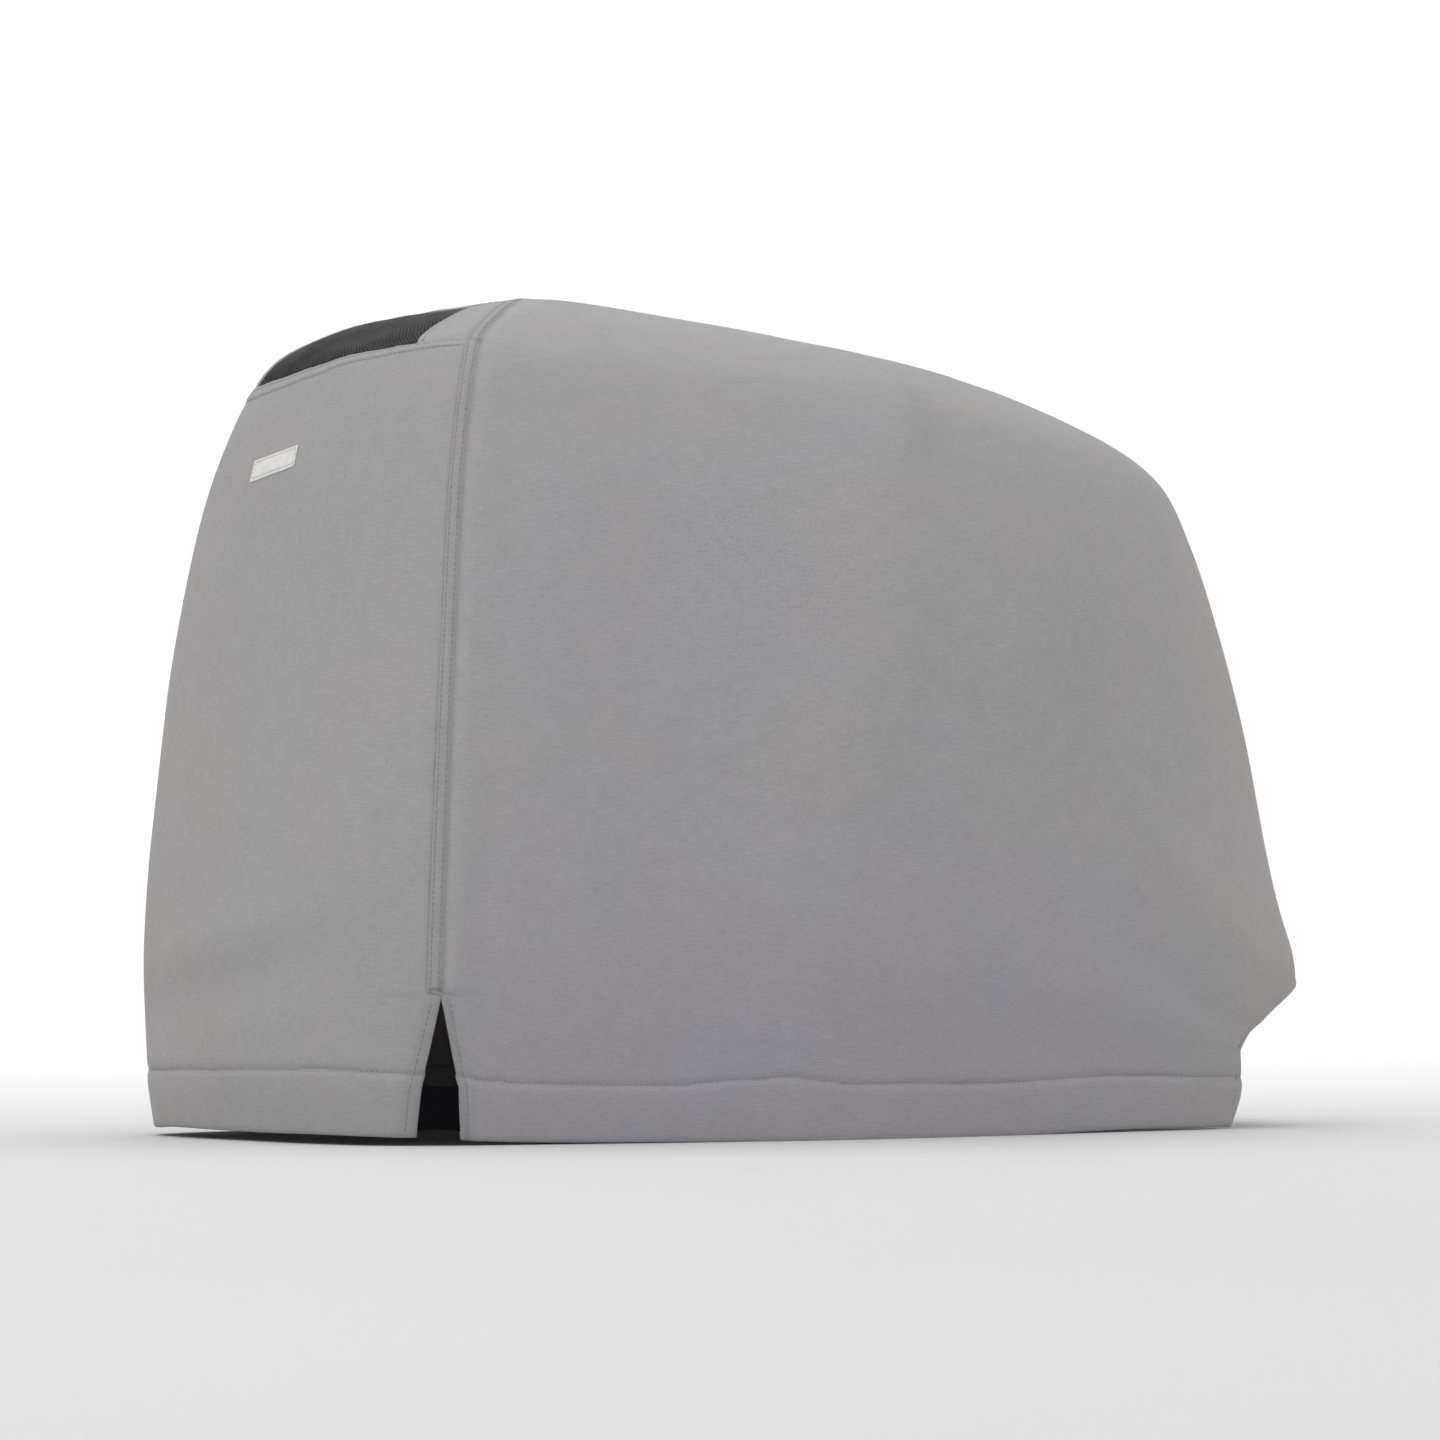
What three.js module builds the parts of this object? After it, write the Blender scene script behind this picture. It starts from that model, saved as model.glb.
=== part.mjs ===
// A fitted cloth cover for the cowl of an outboard motor, empty and standing on its hem.
// Two side panels meet on a centre seam over the crown and down the front, a rear panel
// closes the back between two corner seams, and a mesh vent with its cloth surround fills
// the slope above the rear panel. Each corner seam opens at its foot into a V that a band of
// black elastic draws together, and the hem is cut away in front in a low arch.
//
// Millimetres. +X is starboard, +Y is forward, +Z is up. The hem stands on Z = 0.
import * as THREE from 'three';

// ---------------------------------------------------------------- driving dimensions
const CLOTH = 2.0;          // thickness of the panels, seam allowance included
const MESH = 1.4;           // thickness of the vent mesh
const ELASTIC = 1.8;        // thickness of the elastic bands
const LABEL = 1.0;          // thickness of the sewn label
const GAP = 0.3;            // clear distance between two pieces
const HEM = 42;             // depth of the turned hem
const HEM_PROUD = 1.0;      // how far the doubled hem stands out
const GIRTH = 1040;         // half the girth, from the rear centre to the front centre
const RISE = 640;           // length of cloth from the hem to the top of the crown
const CENTRE_Y = 378;       // the middle of the length, which becomes Y = 0

// Stations round one half of the cover, from the rear centre (u = 0) to the front centre
// (u = 1). x is a share of the half width and y a share of the length, in the wall and on
// the crown.
const STATIONS = [
  { at: 'rear centre',       u: 0.0000, wallX: 0.000, wallY: 0.000, crownX: 0.000, crownY: 0.000 },
  { at: 'rear middle',       u: 0.0933, wallX: 0.408, wallY: 0.004, crownX: 0.350, crownY: 0.004 },
  { at: 'rear corner in',    u: 0.1558, wallX: 0.672, wallY: 0.029, crownX: 0.569, crownY: 0.025 },
  { at: 'corner seam',       u: 0.1867, wallX: 0.781, wallY: 0.067, crownX: 0.689, crownY: 0.056 },
  { at: 'rear corner out',   u: 0.2183, wallX: 0.804, wallY: 0.104, crownX: 0.783, crownY: 0.119 },
  { at: 'side flank',        u: 0.3243, wallX: 0.895, wallY: 0.234, crownX: 0.916, crownY: 0.262 },
  { at: 'side crease in',    u: 0.4098, wallX: 0.957, wallY: 0.338, crownX: 0.980, crownY: 0.462 },
  { at: 'side crease',       u: 0.4474, wallX: 0.984, wallY: 0.396, crownX: 0.995, crownY: 0.558 },
  { at: 'side crease out',   u: 0.4940, wallX: 0.975, wallY: 0.474, crownX: 0.965, crownY: 0.634 },
  { at: 'front flank',       u: 0.6785, wallX: 0.826, wallY: 0.744, crownX: 0.792, crownY: 0.812 },
  { at: 'front corner in',   u: 0.8039, wallX: 0.700, wallY: 0.924, crownX: 0.591, crownY: 0.906 },
  { at: 'front corner',      u: 0.8574, wallX: 0.574, wallY: 0.986, crownX: 0.438, crownY: 0.953 },
  { at: 'front corner out',  u: 0.9162, wallX: 0.352, wallY: 1.010, crownX: 0.244, crownY: 0.990 },
  { at: 'front centre',      u: 1.0000, wallX: 0.000, wallY: 1.018, crownX: 0.000, crownY: 1.000 },
];
const SEAM_U = 0.1867;

// Level sections up the cover. t runs from the hem (0) to the pole on the crown (1) where the
// corner seams meet the centre seam. crown says how far the outline has turned from the
// wall's shape to the crown's.
const SECTIONS = [
  { at: 'hem edge',       t: 0.00, half: 249, rear:  -5, front: 757, zRear:   0, zFront:   0, crown: 0.00 },
  { at: 'hem stitching',  t: 0.06, half: 255, rear:  -9, front: 758, zRear:  44, zFront:  44, crown: 0.00 },
  { at: 'widest girth',   t: 0.17, half: 264, rear:  -9, front: 757, zRear: 129, zFront:  90, crown: 0.05 },
  { at: 'lower wall',     t: 0.31, half: 266, rear:   0, front: 738, zRear: 236, zFront: 192, crown: 0.20 },
  { at: 'middle wall',    t: 0.45, half: 260, rear:  15, front: 724, zRear: 358, zFront: 305, crown: 0.42 },
  { at: 'upper wall',     t: 0.57, half: 238, rear:  37, front: 703, zRear: 462, zFront: 407, crown: 0.62 },
  { at: 'rear shoulder',  t: 0.66, half: 208, rear:  62, front: 684, zRear: 521, zFront: 454, crown: 0.75 },
  { at: 'front shoulder', t: 0.73, half: 184, rear:  81, front: 638, zRear: 538, zFront: 482, crown: 0.84 },
  { at: 'lower crown',    t: 0.80, half: 148, rear: 117, front: 566, zRear: 554, zFront: 510, crown: 0.92 },
  { at: 'middle crown',   t: 0.87, half: 104, rear: 149, front: 482, zRear: 561, zFront: 531, crown: 0.97 },
  { at: 'upper crown',    t: 0.94, half:  54, rear: 179, front: 363, zRear: 566, zFront: 552, crown: 1.00 },
  { at: 'pole',           t: 1.00, half:   0, rear: 217, front: 217, zRear: 570, zFront: 570, crown: 1.00 },
];

// Soft folds, each along a line on the cloth from (u0, t0) to (u1, t1). height is out of the
// cloth where it is positive and into it where it is negative; width is the fold's half width.
const FOLDS = [
  { fold: 'rear low ridge',      u0: -0.110, t0: 0.160, u1:  0.080, t1: 0.200, width: 20, height:  2.8 },
  { fold: 'rear low trough',     u0: -0.115, t0: 0.112, u1:  0.095, t1: 0.160, width: 20, height: -3.6 },
  { fold: 'rear top crease',     u0:  0.000, t0: 0.650, u1:  0.049, t1: 0.555, width: 11, height: -1.3 },
  { fold: 'rear seam pull',      u0:  0.165, t0: 0.420, u1:  0.110, t1: 0.350, width: 20, height: -1.2 },
  { fold: 'crown crease',        u0:  0.480, t0: 0.770, u1:  0.450, t1: 0.610, width: 20, height:  2.4 },
  { fold: 'crease, lower part',  u0:  0.450, t0: 0.600, u1:  0.464, t1: 0.470, width: 28, height:  2.0 },
  { fold: 'arch pull',           u0:  0.768, t0: 0.120, u1:  0.650, t1: 0.240, width: 24, height: -2.8 },
  { fold: 'arch ridge',          u0:  0.800, t0: 0.200, u1:  0.700, t1: 0.320, width: 24, height:  2.2 },
  { fold: 'arch lip',            u0:  0.810, t0: 0.205, u1:  0.900, t1: 0.220, width: 24, height:  2.6 },
  { fold: 'side hollow',         u0:  0.270, t0: 0.210, u1:  0.360, t1: 0.260, width: 48, height: -2.0 },
  { fold: 'side swell',          u0:  0.300, t0: 0.400, u1:  0.400, t1: 0.440, width: 60, height:  1.6 },
  { fold: 'front swell',         u0:  0.600, t0: 0.400, u1:  0.720, t1: 0.460, width: 52, height: -2.0 },
  { fold: 'port low trough',     u0: -0.300, t0: 0.120, u1: -0.480, t1: 0.190, width: 34, height: -2.4 },
  { fold: 'port middle ridge',   u0: -0.350, t0: 0.330, u1: -0.560, t1: 0.400, width: 46, height:  2.0 },
  { fold: 'port arch pull',      u0: -0.768, t0: 0.120, u1: -0.650, t1: 0.240, width: 26, height: -2.4 },
];

// The V at the foot of each corner seam: how far each cloth edge stands back from the seam.
const NOTCH = [
  { height:   0, rearSide: 15.5, frontSide: 16.5 },
  { height:   8, rearSide: 15.0, frontSide: 16.2 },
  { height:  38, rearSide: 11.5, frontSide: 16.0 },
  { height:  98, rearSide:  0.15, frontSide: 0.15 },
];

// The front arch: its leg, an edge that climbs from the hem to the haunch, and then the lowest
// cloth at each station from the haunch to the middle.
const ARCH_LEG = [
  { t: 0.0000, u: 0.7690 },
  { t: 0.0262, u: 0.7755 },
  { t: 0.0800, u: 0.7750 },
];
const HAUNCH_T = 0.08;
const ARCH = [
  { at: 'haunch',       u: 0.7750, t: 0.0800 },
  { at: 'above it',     u: 0.7825, t: 0.1030 },
  { at: 'outer arch',   u: 0.7965, t: 0.1250 },
  { at: 'middle arch',  u: 0.8170, t: 0.1510 },
  { at: 'inner arch',   u: 0.8440, t: 0.1730 },
  { at: 'near the top', u: 0.9000, t: 0.1840 },
  { at: 'centre',       u: 1.0000, t: 0.1900 },
];

// The hem's edge isn't level: how far it is lifted off the lowest plane at each station.
const HEM_EDGE = [
  { u: -1.00, lift: 1.5 },
  { u: -0.77, lift: 1.5 },
  { u: -0.62, lift: 0.6 },
  { u: -0.45, lift: 1.2 },
  { u: -0.30, lift: 1.0 },
  { u: -0.19, lift: 5.0 },
  { u: -0.10, lift: 8.0 },
  { u:  0.00, lift: 7.4 },
  { u:  0.17, lift: 6.4 },
  { u:  0.21, lift: 4.2 },
  { u:  0.38, lift: 1.4 },
  { u:  0.52, lift: 0.4 },
  { u:  0.60, lift: 1.0 },
  { u:  0.66, lift: 2.6 },
  { u:  0.77, lift: 2.8 },
  { u:  1.00, lift: 2.8 },
];

// The seam that ends the rear panel under the vent. It sags towards port.
const VENT_SEAM = [
  { u: -0.1867, t: 0.6430 },
  { u: -0.1340, t: 0.6435 },
  { u: -0.0740, t: 0.6490 },
  { u:  0.0210, t: 0.6710 },
  { u:  0.1340, t: 0.6900 },
  { u:  0.1867, t: 0.7070 },
];
// The sides of the mesh: its half width at each height.
const MESH_SIDE = [
  { t: 0.6400, u: 0.1340 },
  { t: 0.6900, u: 0.1340 },
  { t: 0.7575, u: 0.1425 },
  { t: 0.8100, u: 0.1460 },
  { t: 0.8900, u: 0.1480 },
];
const MESH_TOP_T = 0.89;

// The label: its middle, size and tilt on the rear panel.
const LABEL_AT = { u: -0.0213, t: 0.561, wide: 59, tall: 14, tiltDeg: 8 };

// The elastic bands lie in the V between these two places, a little under the outer face.
const BAND = { fromT: 0.0070, toT: 0.0500, inset: 0.4 };

// ---------------------------------------------------------------- curves through the tables
// A smooth curve through the rows of a table at the given knots.
function slopes(knots, values) {
  const n = knots.length, m = new Array(n);
  const h = [], d = [];
  for (let i = 0; i < n - 1; i++) { h.push(knots[i + 1] - knots[i]); d.push((values[i + 1] - values[i]) / h[i]); }
  for (let i = 1; i < n - 1; i++) m[i] = (d[i - 1] * h[i] + d[i] * h[i - 1]) / (h[i - 1] + h[i]);
  m[0] = d[0]; m[n - 1] = d[n - 2];
  return m;
}
function curve(rows, knot, value, first, last) {
  const k = rows.map((r) => r[knot]), v = rows.map((r) => r[value]);
  const m = slopes(k, v);
  if (first !== undefined) m[0] = first;
  if (last !== undefined) m[m.length - 1] = last;
  return (x) => {
    let i = 0;
    while (i < k.length - 2 && x >= k[i + 1]) i++;
    const h = k[i + 1] - k[i], s = (x - k[i]) / h;
    return (1 + 2 * s) * (1 - s) ** 2 * v[i] + s * (1 - s) ** 2 * h * m[i]
      + s * s * (3 - 2 * s) * v[i + 1] + s * s * (s - 1) * h * m[i + 1];
  };
}
// Straight lines between rows, held at the ends.
function broken(rows, knot, value) {
  return (x) => {
    if (x <= rows[0][knot]) return rows[0][value];
    for (let i = 1; i < rows.length; i++) {
      const a = rows[i - 1], b = rows[i];
      if (x <= b[knot]) return a[value] + (b[value] - a[value]) * (x - a[knot]) / (b[knot] - a[knot]);
    }
    return rows[rows.length - 1][value];
  };
}
const wallX = curve(STATIONS, 'u', 'wallX'), wallY = curve(STATIONS, 'u', 'wallY', 0, 0);
const crownX = curve(STATIONS, 'u', 'crownX'), crownY = curve(STATIONS, 'u', 'crownY', 0, 0);
const half = curve(SECTIONS, 't', 'half'), rear = curve(SECTIONS, 't', 'rear'), front = curve(SECTIONS, 't', 'front');
const zRear = curve(SECTIONS, 't', 'zRear', undefined, 0), zFront = curve(SECTIONS, 't', 'zFront', undefined, 0);
const crown = curve(SECTIONS, 't', 'crown');
const archEdge = broken(ARCH, 'u', 't'), archLeg = broken(ARCH_LEG, 't', 'u'), hemLift = curve(HEM_EDGE, 'u', 'lift'), ventSeam = curve(VENT_SEAM, 'u', 't'), meshSide = broken(MESH_SIDE, 't', 'u');
const notchRear = broken(NOTCH, 'height', 'rearSide'), notchFront = broken(NOTCH, 'height', 'frontSide');

// The smooth form, before the folds.
function form(u, t) {
  const a = Math.min(Math.abs(u), 1), side = u < 0 ? -1 : 1, c = crown(t);
  const x = wallX(a) * (1 - c) + crownX(a) * c;
  const y = wallY(a) * (1 - c) + crownY(a) * c;
  return new THREE.Vector3(
    side * half(t) * x,
    rear(t) + (front(t) - rear(t)) * y - CENTRE_Y,
    zRear(t) + (zFront(t) - zRear(t)) * y + hemLift(side * a) * Math.max(0, 1 - t / 0.1),
  );
}
function normal(u, t) {
  const e = 1e-3, t0 = Math.max(t - e, 0), t1 = Math.min(t + e, 0.9995);
  const du = form(Math.min(u + e, 1), t).sub(form(Math.max(u - e, -1), t));
  const dt = form(u, t1).sub(form(u, t0));
  return du.cross(dt).normalize();
}
function alongU(u, t) { // millimetres of cloth for one unit of u
  const e = 1e-3;
  return form(u + e, t).distanceTo(form(u - e, t)) / (2 * e);
}
// How far the folds and the doubled hem stand out.
function relief(u, t) {
  let out = 0;
  const girth = GIRTH * Math.max(half(t) / 266, 0.15);
  for (const f of FOLDS) {
    const ax = (f.u1 - f.u0) * girth, ay = (f.t1 - f.t0) * RISE;
    const px = (u - f.u0) * girth, py = (t - f.t0) * RISE;
    const length = Math.hypot(ax, ay);
    const s = (px * ax + py * ay) / (length * length);
    const across = Math.abs(px * ay - py * ax) / length / f.width;
    const past = Math.max(0, -s, s - 1) * length / (1.6 * f.width);
    const fade = 0.5 + 0.5 * Math.min(1, 4 * Math.min(Math.max(s, 0), Math.max(1 - s, 0)));
    out += f.height * fade * Math.exp(-1.6 * (across * across + past * past));
  }
  const z = zRear(t);
  out += HEM_PROUD * Math.min(1, Math.max(0, (HEM + 3 - z) / 5));
  return out;
}
function cloth(u, t, depth) { // a point that lies depth millimetres under the outer face
  return form(u, t).addScaledVector(normal(u, t), relief(u, t) - depth);
}

// ---------------------------------------------------------------- building the sheets
// A closed sheet from a grid of (u, t) places: its outer face, its inner face and the edges
// round it. A last row that is one single place closes the grid to a tip, and keep says
// which cells are cloth.
function sheet(rows, top, bottom, keep = () => true) {
  const points = [], index = [], used = new Map();
  const place = (j, i, depth) => {
    const row = rows[j], [u, t] = row[Math.min(i, row.length - 1)];
    const key = `${j},${Math.min(i, row.length - 1)},${depth}`;
    if (!used.has(key)) {
      const p = cloth(u, t, depth);
      used.set(key, points.length / 3);
      points.push(p.x, p.y, p.z);
    }
    return used.get(key);
  };
  const edges = new Map(); // the outer face's edges that have cloth on one side only
  const face = (a, b, c) => {
    index.push(place(...a, top), place(...b, top), place(...c, top));
    index.push(place(...a, bottom), place(...c, bottom), place(...b, bottom));
    for (const [p, q] of [[a, b], [b, c], [c, a]]) {
      if (!edges.delete(`${q}|${p}`)) edges.set(`${p}|${q}`, [p, q]);
    }
  };
  for (let j = 0; j < rows.length - 1; j++) {
    const tip = rows[j + 1].length === 1;
    for (let i = 0; i < rows[j].length - 1; i++) {
      if (!keep(j, i)) continue;
      const a = [j, i], b = [j, i + 1], c = [j + 1, tip ? 0 : i + 1], d = [j + 1, tip ? 0 : i];
      face(a, b, c);
      if (!tip) face(a, c, d);
    }
  }
  for (const [p, q] of edges.values()) {
    const a = place(...p, top), b = place(...q, top), c = place(...q, bottom), d = place(...p, bottom);
    index.push(b, a, d, b, d, c);
  }
  const g = new THREE.BufferGeometry();
  g.setAttribute('position', new THREE.Float32BufferAttribute(points, 3));
  g.setIndex(index);
  return g;
}
// Steps between marks, each span cut into the given number of parts.
function steps(marks) {
  const out = [marks[0].at];
  for (let i = 1; i < marks.length; i++) {
    const a = marks[i - 1].at, b = marks[i].at, n = marks[i].parts;
    for (let k = 1; k <= n; k++) out.push(a + (b - a) * k / n);
  }
  return out;
}

// The corner seams and the vent seam are sewn edge to edge, so the pieces on both sides of a
// seam share the same places along it.
const LOW_ROWS = steps([
  { at: 0 }, { at: BAND.fromT, parts: 1 }, { at: BAND.toT, parts: 2 }, { at: HAUNCH_T, parts: 1 }, { at: 0.135, parts: 2 }, { at: 0.31, parts: 4 }, { at: 0.56, parts: 4 },
]);
const REAR_TOP = { 1: steps([{ at: 0.56 }, { at: 0.707, parts: 4 }]), [-1]: steps([{ at: 0.56 }, { at: 0.643, parts: 4 }]) };
const VENT_TOP = { 1: steps([{ at: 0.707 }, { at: 0.87, parts: 5 }]), [-1]: steps([{ at: 0.643 }, { at: 0.87, parts: 5 }]) };
const POLE_TOP = steps([{ at: 0.87 }, { at: 0.972, parts: 3 }, { at: 0.992, parts: 1 }]);
const SIDE_COLUMNS = steps([
  { at: SEAM_U }, { at: 0.2183, parts: 2 }, { at: 0.3243, parts: 2 }, { at: 0.4098, parts: 2 }, { at: 0.4940, parts: 3 },
  { at: 0.6785, parts: 4 }, { at: 0.7750, parts: 3 }, { at: 0.7825, parts: 1 }, { at: 0.7965, parts: 1 }, { at: 0.8170, parts: 1 },
  { at: 0.8440, parts: 1 }, { at: 0.8725, parts: 1 }, { at: 0.9000, parts: 1 }, { at: 0.9350, parts: 1 }, { at: 1, parts: 2 },
]);
const SIDE_TIP = { u: 0.345, t: 0.9996 }, VENT_TIP = { u: 0, t: 0.9992 }; // a hair off the pole

// A side panel, from the corner seam round to the centre seam. side is 1 for starboard.
function sidePanel(side) {
  const ladder = [...LOW_ROWS, ...REAR_TOP[side].slice(1), ...VENT_TOP[side].slice(1), ...POLE_TOP.slice(1)];
  const leg = SIDE_COLUMNS.indexOf(0.7750), fade = 0.5;
  const rows = ladder.map((row) => SIDE_COLUMNS.map((u, i) => {
    const raised = i > leg && row >= HAUNCH_T && row < fade;
    const t = row + (raised ? (archEdge(u) - HAUNCH_T) * (fade - row) / (fade - HAUNCH_T) : 0);
    const back = notchFront(zRear(t)) / alongU(SEAM_U, t);
    let v = u;
    if (i === 0) v += back;
    if (i === 1) v += 0.6 * back;
    if (i <= leg && row < HAUNCH_T) v += (archLeg(row) - 0.7750) * Math.max(0, 1 - 0.5 * (leg - i));
    if (i === SIDE_COLUMNS.length - 1) v -= 0.5 * GAP / alongU(0.99, t);
    return [side * v, t];
  }));
  rows.push([[side * SIDE_TIP.u, SIDE_TIP.t]]);
  const last = SIDE_COLUMNS.length - 2;
  if (side < 0) rows.forEach((r) => r.reverse());
  return sheet(rows, 0, CLOTH, (j, i) => ladder[j] >= HAUNCH_T || (side < 0 ? last - i : i) < leg);
}

// The rear panel, between the corner seams and up to the vent seam.
const MESH_SHARES = [1, 0.8, 0.6, 0.4, 0.2];
const FOOT_SHARES = [1, 0.67, 0.33];
function rearPanel() {
  const foot = MESH_SIDE[0].u;
  const half = [...FOOT_SHARES.map((a) => foot + (SEAM_U - foot) * a), ...MESH_SHARES.map((a) => foot * a)];
  const columns = [...half.map((u) => -u), 0, ...[...half].reverse()];
  const last = columns.length - 1;
  const row = (j) => columns.map((u, i) => {
    const top = j - (LOW_ROWS.length - 1);
    let t = LOW_ROWS[Math.min(j, LOW_ROWS.length - 1)];
    if (top > 0) t += (ventSeam(u) - 0.5 * GAP / RISE - t) * top / 4;
    if (top > 0 && top < 4 && (i === 0 || i === last)) t = REAR_TOP[i === 0 ? -1 : 1][top];
    const back = notchRear(zRear(t)) / alongU(SEAM_U, t);
    const share = [1, 0.6, 0.2][Math.min(i, last - i)] ?? 0;
    return [u + (i < last / 2 ? 1 : -1) * share * back, t];
  });
  const rows = [];
  for (let j = 0; j < LOW_ROWS.length + 4; j++) rows.push(row(j));
  return sheet(rows, 0, CLOTH);
}

// The mesh of the vent. Its edges keep half the gap inside the line that it shares with the
// cloth round it.
const MESH_RISE = [0, 0.2, 0.4, 0.6, 0.8, 1];
function meshPlace(a, b) { // a from -1 at port to 1 at starboard, b from 0 at its foot to 1
  const side = a < 0 ? -1 : 1, low = ventSeam(side * MESH_SIDE[0].u);
  const u = a * meshSide(low + (MESH_TOP_T - low) * b);
  return [u, ventSeam(u) + (MESH_TOP_T - ventSeam(u)) * b];
}
function ventMesh() {
  const across = [...MESH_SHARES.map((a) => -a), 0, ...[...MESH_SHARES].reverse()];
  const inU = (t) => 0.5 * GAP / alongU(0.13, t), inT = 0.5 * GAP / RISE;
  const rows = MESH_RISE.map((b) => across.map((a) => {
    const [u, t] = meshPlace(a, b);
    return [u - (Math.abs(a) === 1 ? Math.sign(a) * inU(t) : 0), t + (b === 0 ? inT : b === 1 ? -inT : 0)];
  }));
  return sheet(rows, 0.3, 0.3 + MESH);
}

// The cloth round the mesh: one strip, up the starboard side, across the top to the pole and
// down the port side. Each place along it has an inner end on the mesh and an outer end on
// the corner seam.
function ventSurround() {
  const inU = (t) => 0.5 * GAP / alongU(0.13, t), inT = 0.5 * GAP / RISE;
  const outer = (side, k) => (k <= 5 ? VENT_TOP[side][k] : POLE_TOP[k - 5]);
  const strip = (side) => [0, 1, 2, 3, 4, 5, 6, 7, 8, 9].map((k) => {
    const share = k <= 5 ? 1 : MESH_SHARES[k - 5];
    const [u, t] = meshPlace(side * share, MESH_RISE[Math.min(k, 5)]);
    const ui = u + (k <= 5 ? side * inU(t) : 0), ti = t + (k >= 5 ? inT : 0);
    const to = outer(side, k), uo = side * (SEAM_U - 0.5 * GAP / alongU(SEAM_U, to));
    return [0, ...[...FOOT_SHARES].reverse()].map((w) => {
      const v = ui + (uo - ui) * w;
      return [v, k === 0 ? ventSeam(v) + (w < 1 || side ? inT : 0) : ti + (to - ti) * w];
    });
  });
  const tip = MESH_TOP_T + inT;
  const middle = [0, 0.33, 0.67, 1].map((w) => [VENT_TIP.u, tip + (VENT_TIP.t - tip) * w]);
  return sheet([...strip(1), middle, ...strip(-1).reverse()], 0, CLOTH);
}

// A band of elastic across the V at the foot of a corner seam.
function elasticBand(side) {
  const across = [0, 0.2, 0.4, 0.6, 0.8, 1];
  const rows = LOW_ROWS.filter((t) => t >= BAND.fromT && t <= BAND.toT).map((t) => across.map((a) => {
    const z = zRear(t), k = alongU(SEAM_U, t);
    const from = SEAM_U - (notchRear(z) - GAP) / k, to = SEAM_U + (notchFront(z) - GAP) / k;
    return [side * (from + (to - from) * a), t];
  }));
  if (side < 0) rows.forEach((r) => r.reverse());
  return sheet(rows, BAND.inset, BAND.inset + ELASTIC);
}

// The label, laid on the rear panel with a hair of space under it.
function sewnLabel() {
  const across = [-0.5, -0.3, -0.1, 0.1, 0.3, 0.5], up = [-0.5, 0, 0.5];
  const k = alongU(LABEL_AT.u, LABEL_AT.t), tilt = THREE.MathUtils.degToRad(LABEL_AT.tiltDeg);
  const rows = up.map((b) => across.map((a) => {
    const x = a * LABEL_AT.wide, y = b * LABEL_AT.tall;
    return [
      LABEL_AT.u + (x * Math.cos(tilt) - y * Math.sin(tilt)) / k,
      LABEL_AT.t + (x * Math.sin(tilt) + y * Math.cos(tilt)) / 780,
    ];
  }));
  return sheet(rows, -GAP - LABEL, -GAP);
}

// ---------------------------------------------------------------- the cover
const grey = () => new THREE.MeshStandardMaterial({ color: 0x98969a, roughness: 0.94, metalness: 0 });
const cover = new THREE.Group();
function add(name, geometry, material) {
  const mesh = new THREE.Mesh(geometry, material);
  mesh.name = name;
  cover.add(mesh);
}
add('side_panel_starboard', sidePanel(1), grey());
add('side_panel_port', sidePanel(-1), grey());
add('rear_panel', rearPanel(), grey());
add('vent_surround', ventSurround(), grey());
add('vent_mesh', ventMesh(), new THREE.MeshStandardMaterial({ color: 0x4f4e50, roughness: 0.85, metalness: 0 }));
add('elastic_starboard', elasticBand(1), new THREE.MeshStandardMaterial({ color: 0x101014, roughness: 0.8, metalness: 0 }));
add('elastic_port', elasticBand(-1), new THREE.MeshStandardMaterial({ color: 0x101014, roughness: 0.8, metalness: 0 }));
add('label', sewnLabel(), new THREE.MeshStandardMaterial({ color: 0xe9e7e3, roughness: 0.7, metalness: 0 }));

export default cover;
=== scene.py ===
# A fitted cloth cover for the cowl of an outboard motor, empty and standing on its hem.
# Every piece of cloth is a grid laid on one surface, u round the cover and t up it, with its
# seams, hem, folds and stitches added in millimetres. Blender gets it in metres.
import math
import bpy
import numpy as np
from mathutils import Matrix, Vector


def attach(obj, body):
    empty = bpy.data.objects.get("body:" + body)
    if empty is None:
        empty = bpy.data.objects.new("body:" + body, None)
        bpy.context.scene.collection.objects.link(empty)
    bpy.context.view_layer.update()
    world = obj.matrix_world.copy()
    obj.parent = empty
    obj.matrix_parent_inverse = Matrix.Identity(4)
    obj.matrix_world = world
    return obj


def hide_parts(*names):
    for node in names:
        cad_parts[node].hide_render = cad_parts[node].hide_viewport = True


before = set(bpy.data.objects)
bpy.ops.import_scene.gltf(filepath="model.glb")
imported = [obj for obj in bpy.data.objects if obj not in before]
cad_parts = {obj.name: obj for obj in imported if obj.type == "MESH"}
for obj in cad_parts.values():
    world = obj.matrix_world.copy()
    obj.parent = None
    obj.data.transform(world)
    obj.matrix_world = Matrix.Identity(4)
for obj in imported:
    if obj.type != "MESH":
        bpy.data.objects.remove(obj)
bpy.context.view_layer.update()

MM = 0.001

# ------------------------------------------------------------------ sizes, in millimetres
CLOTH = 1.3            # thickness of the coated cloth with its slight loft
HEM_THICK = 2.6        # the doubled hem
LAP = 8.4              # width of a felled seam
STITCH = 4.0           # pitch of the stitches
THREAD = 0.42          # half thickness of the thread as sewn
GIRTH, RISE, CENTRE_Y, SEAM_U = 1040.0, 640.0, 378.0, 0.1867
HAUNCH_T, LEG_U = 0.08, 0.7750
MESH_TOP_T, MESH_FOOT_U = 0.89, 0.1385
NOTCH_TOP = 98.0

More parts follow.
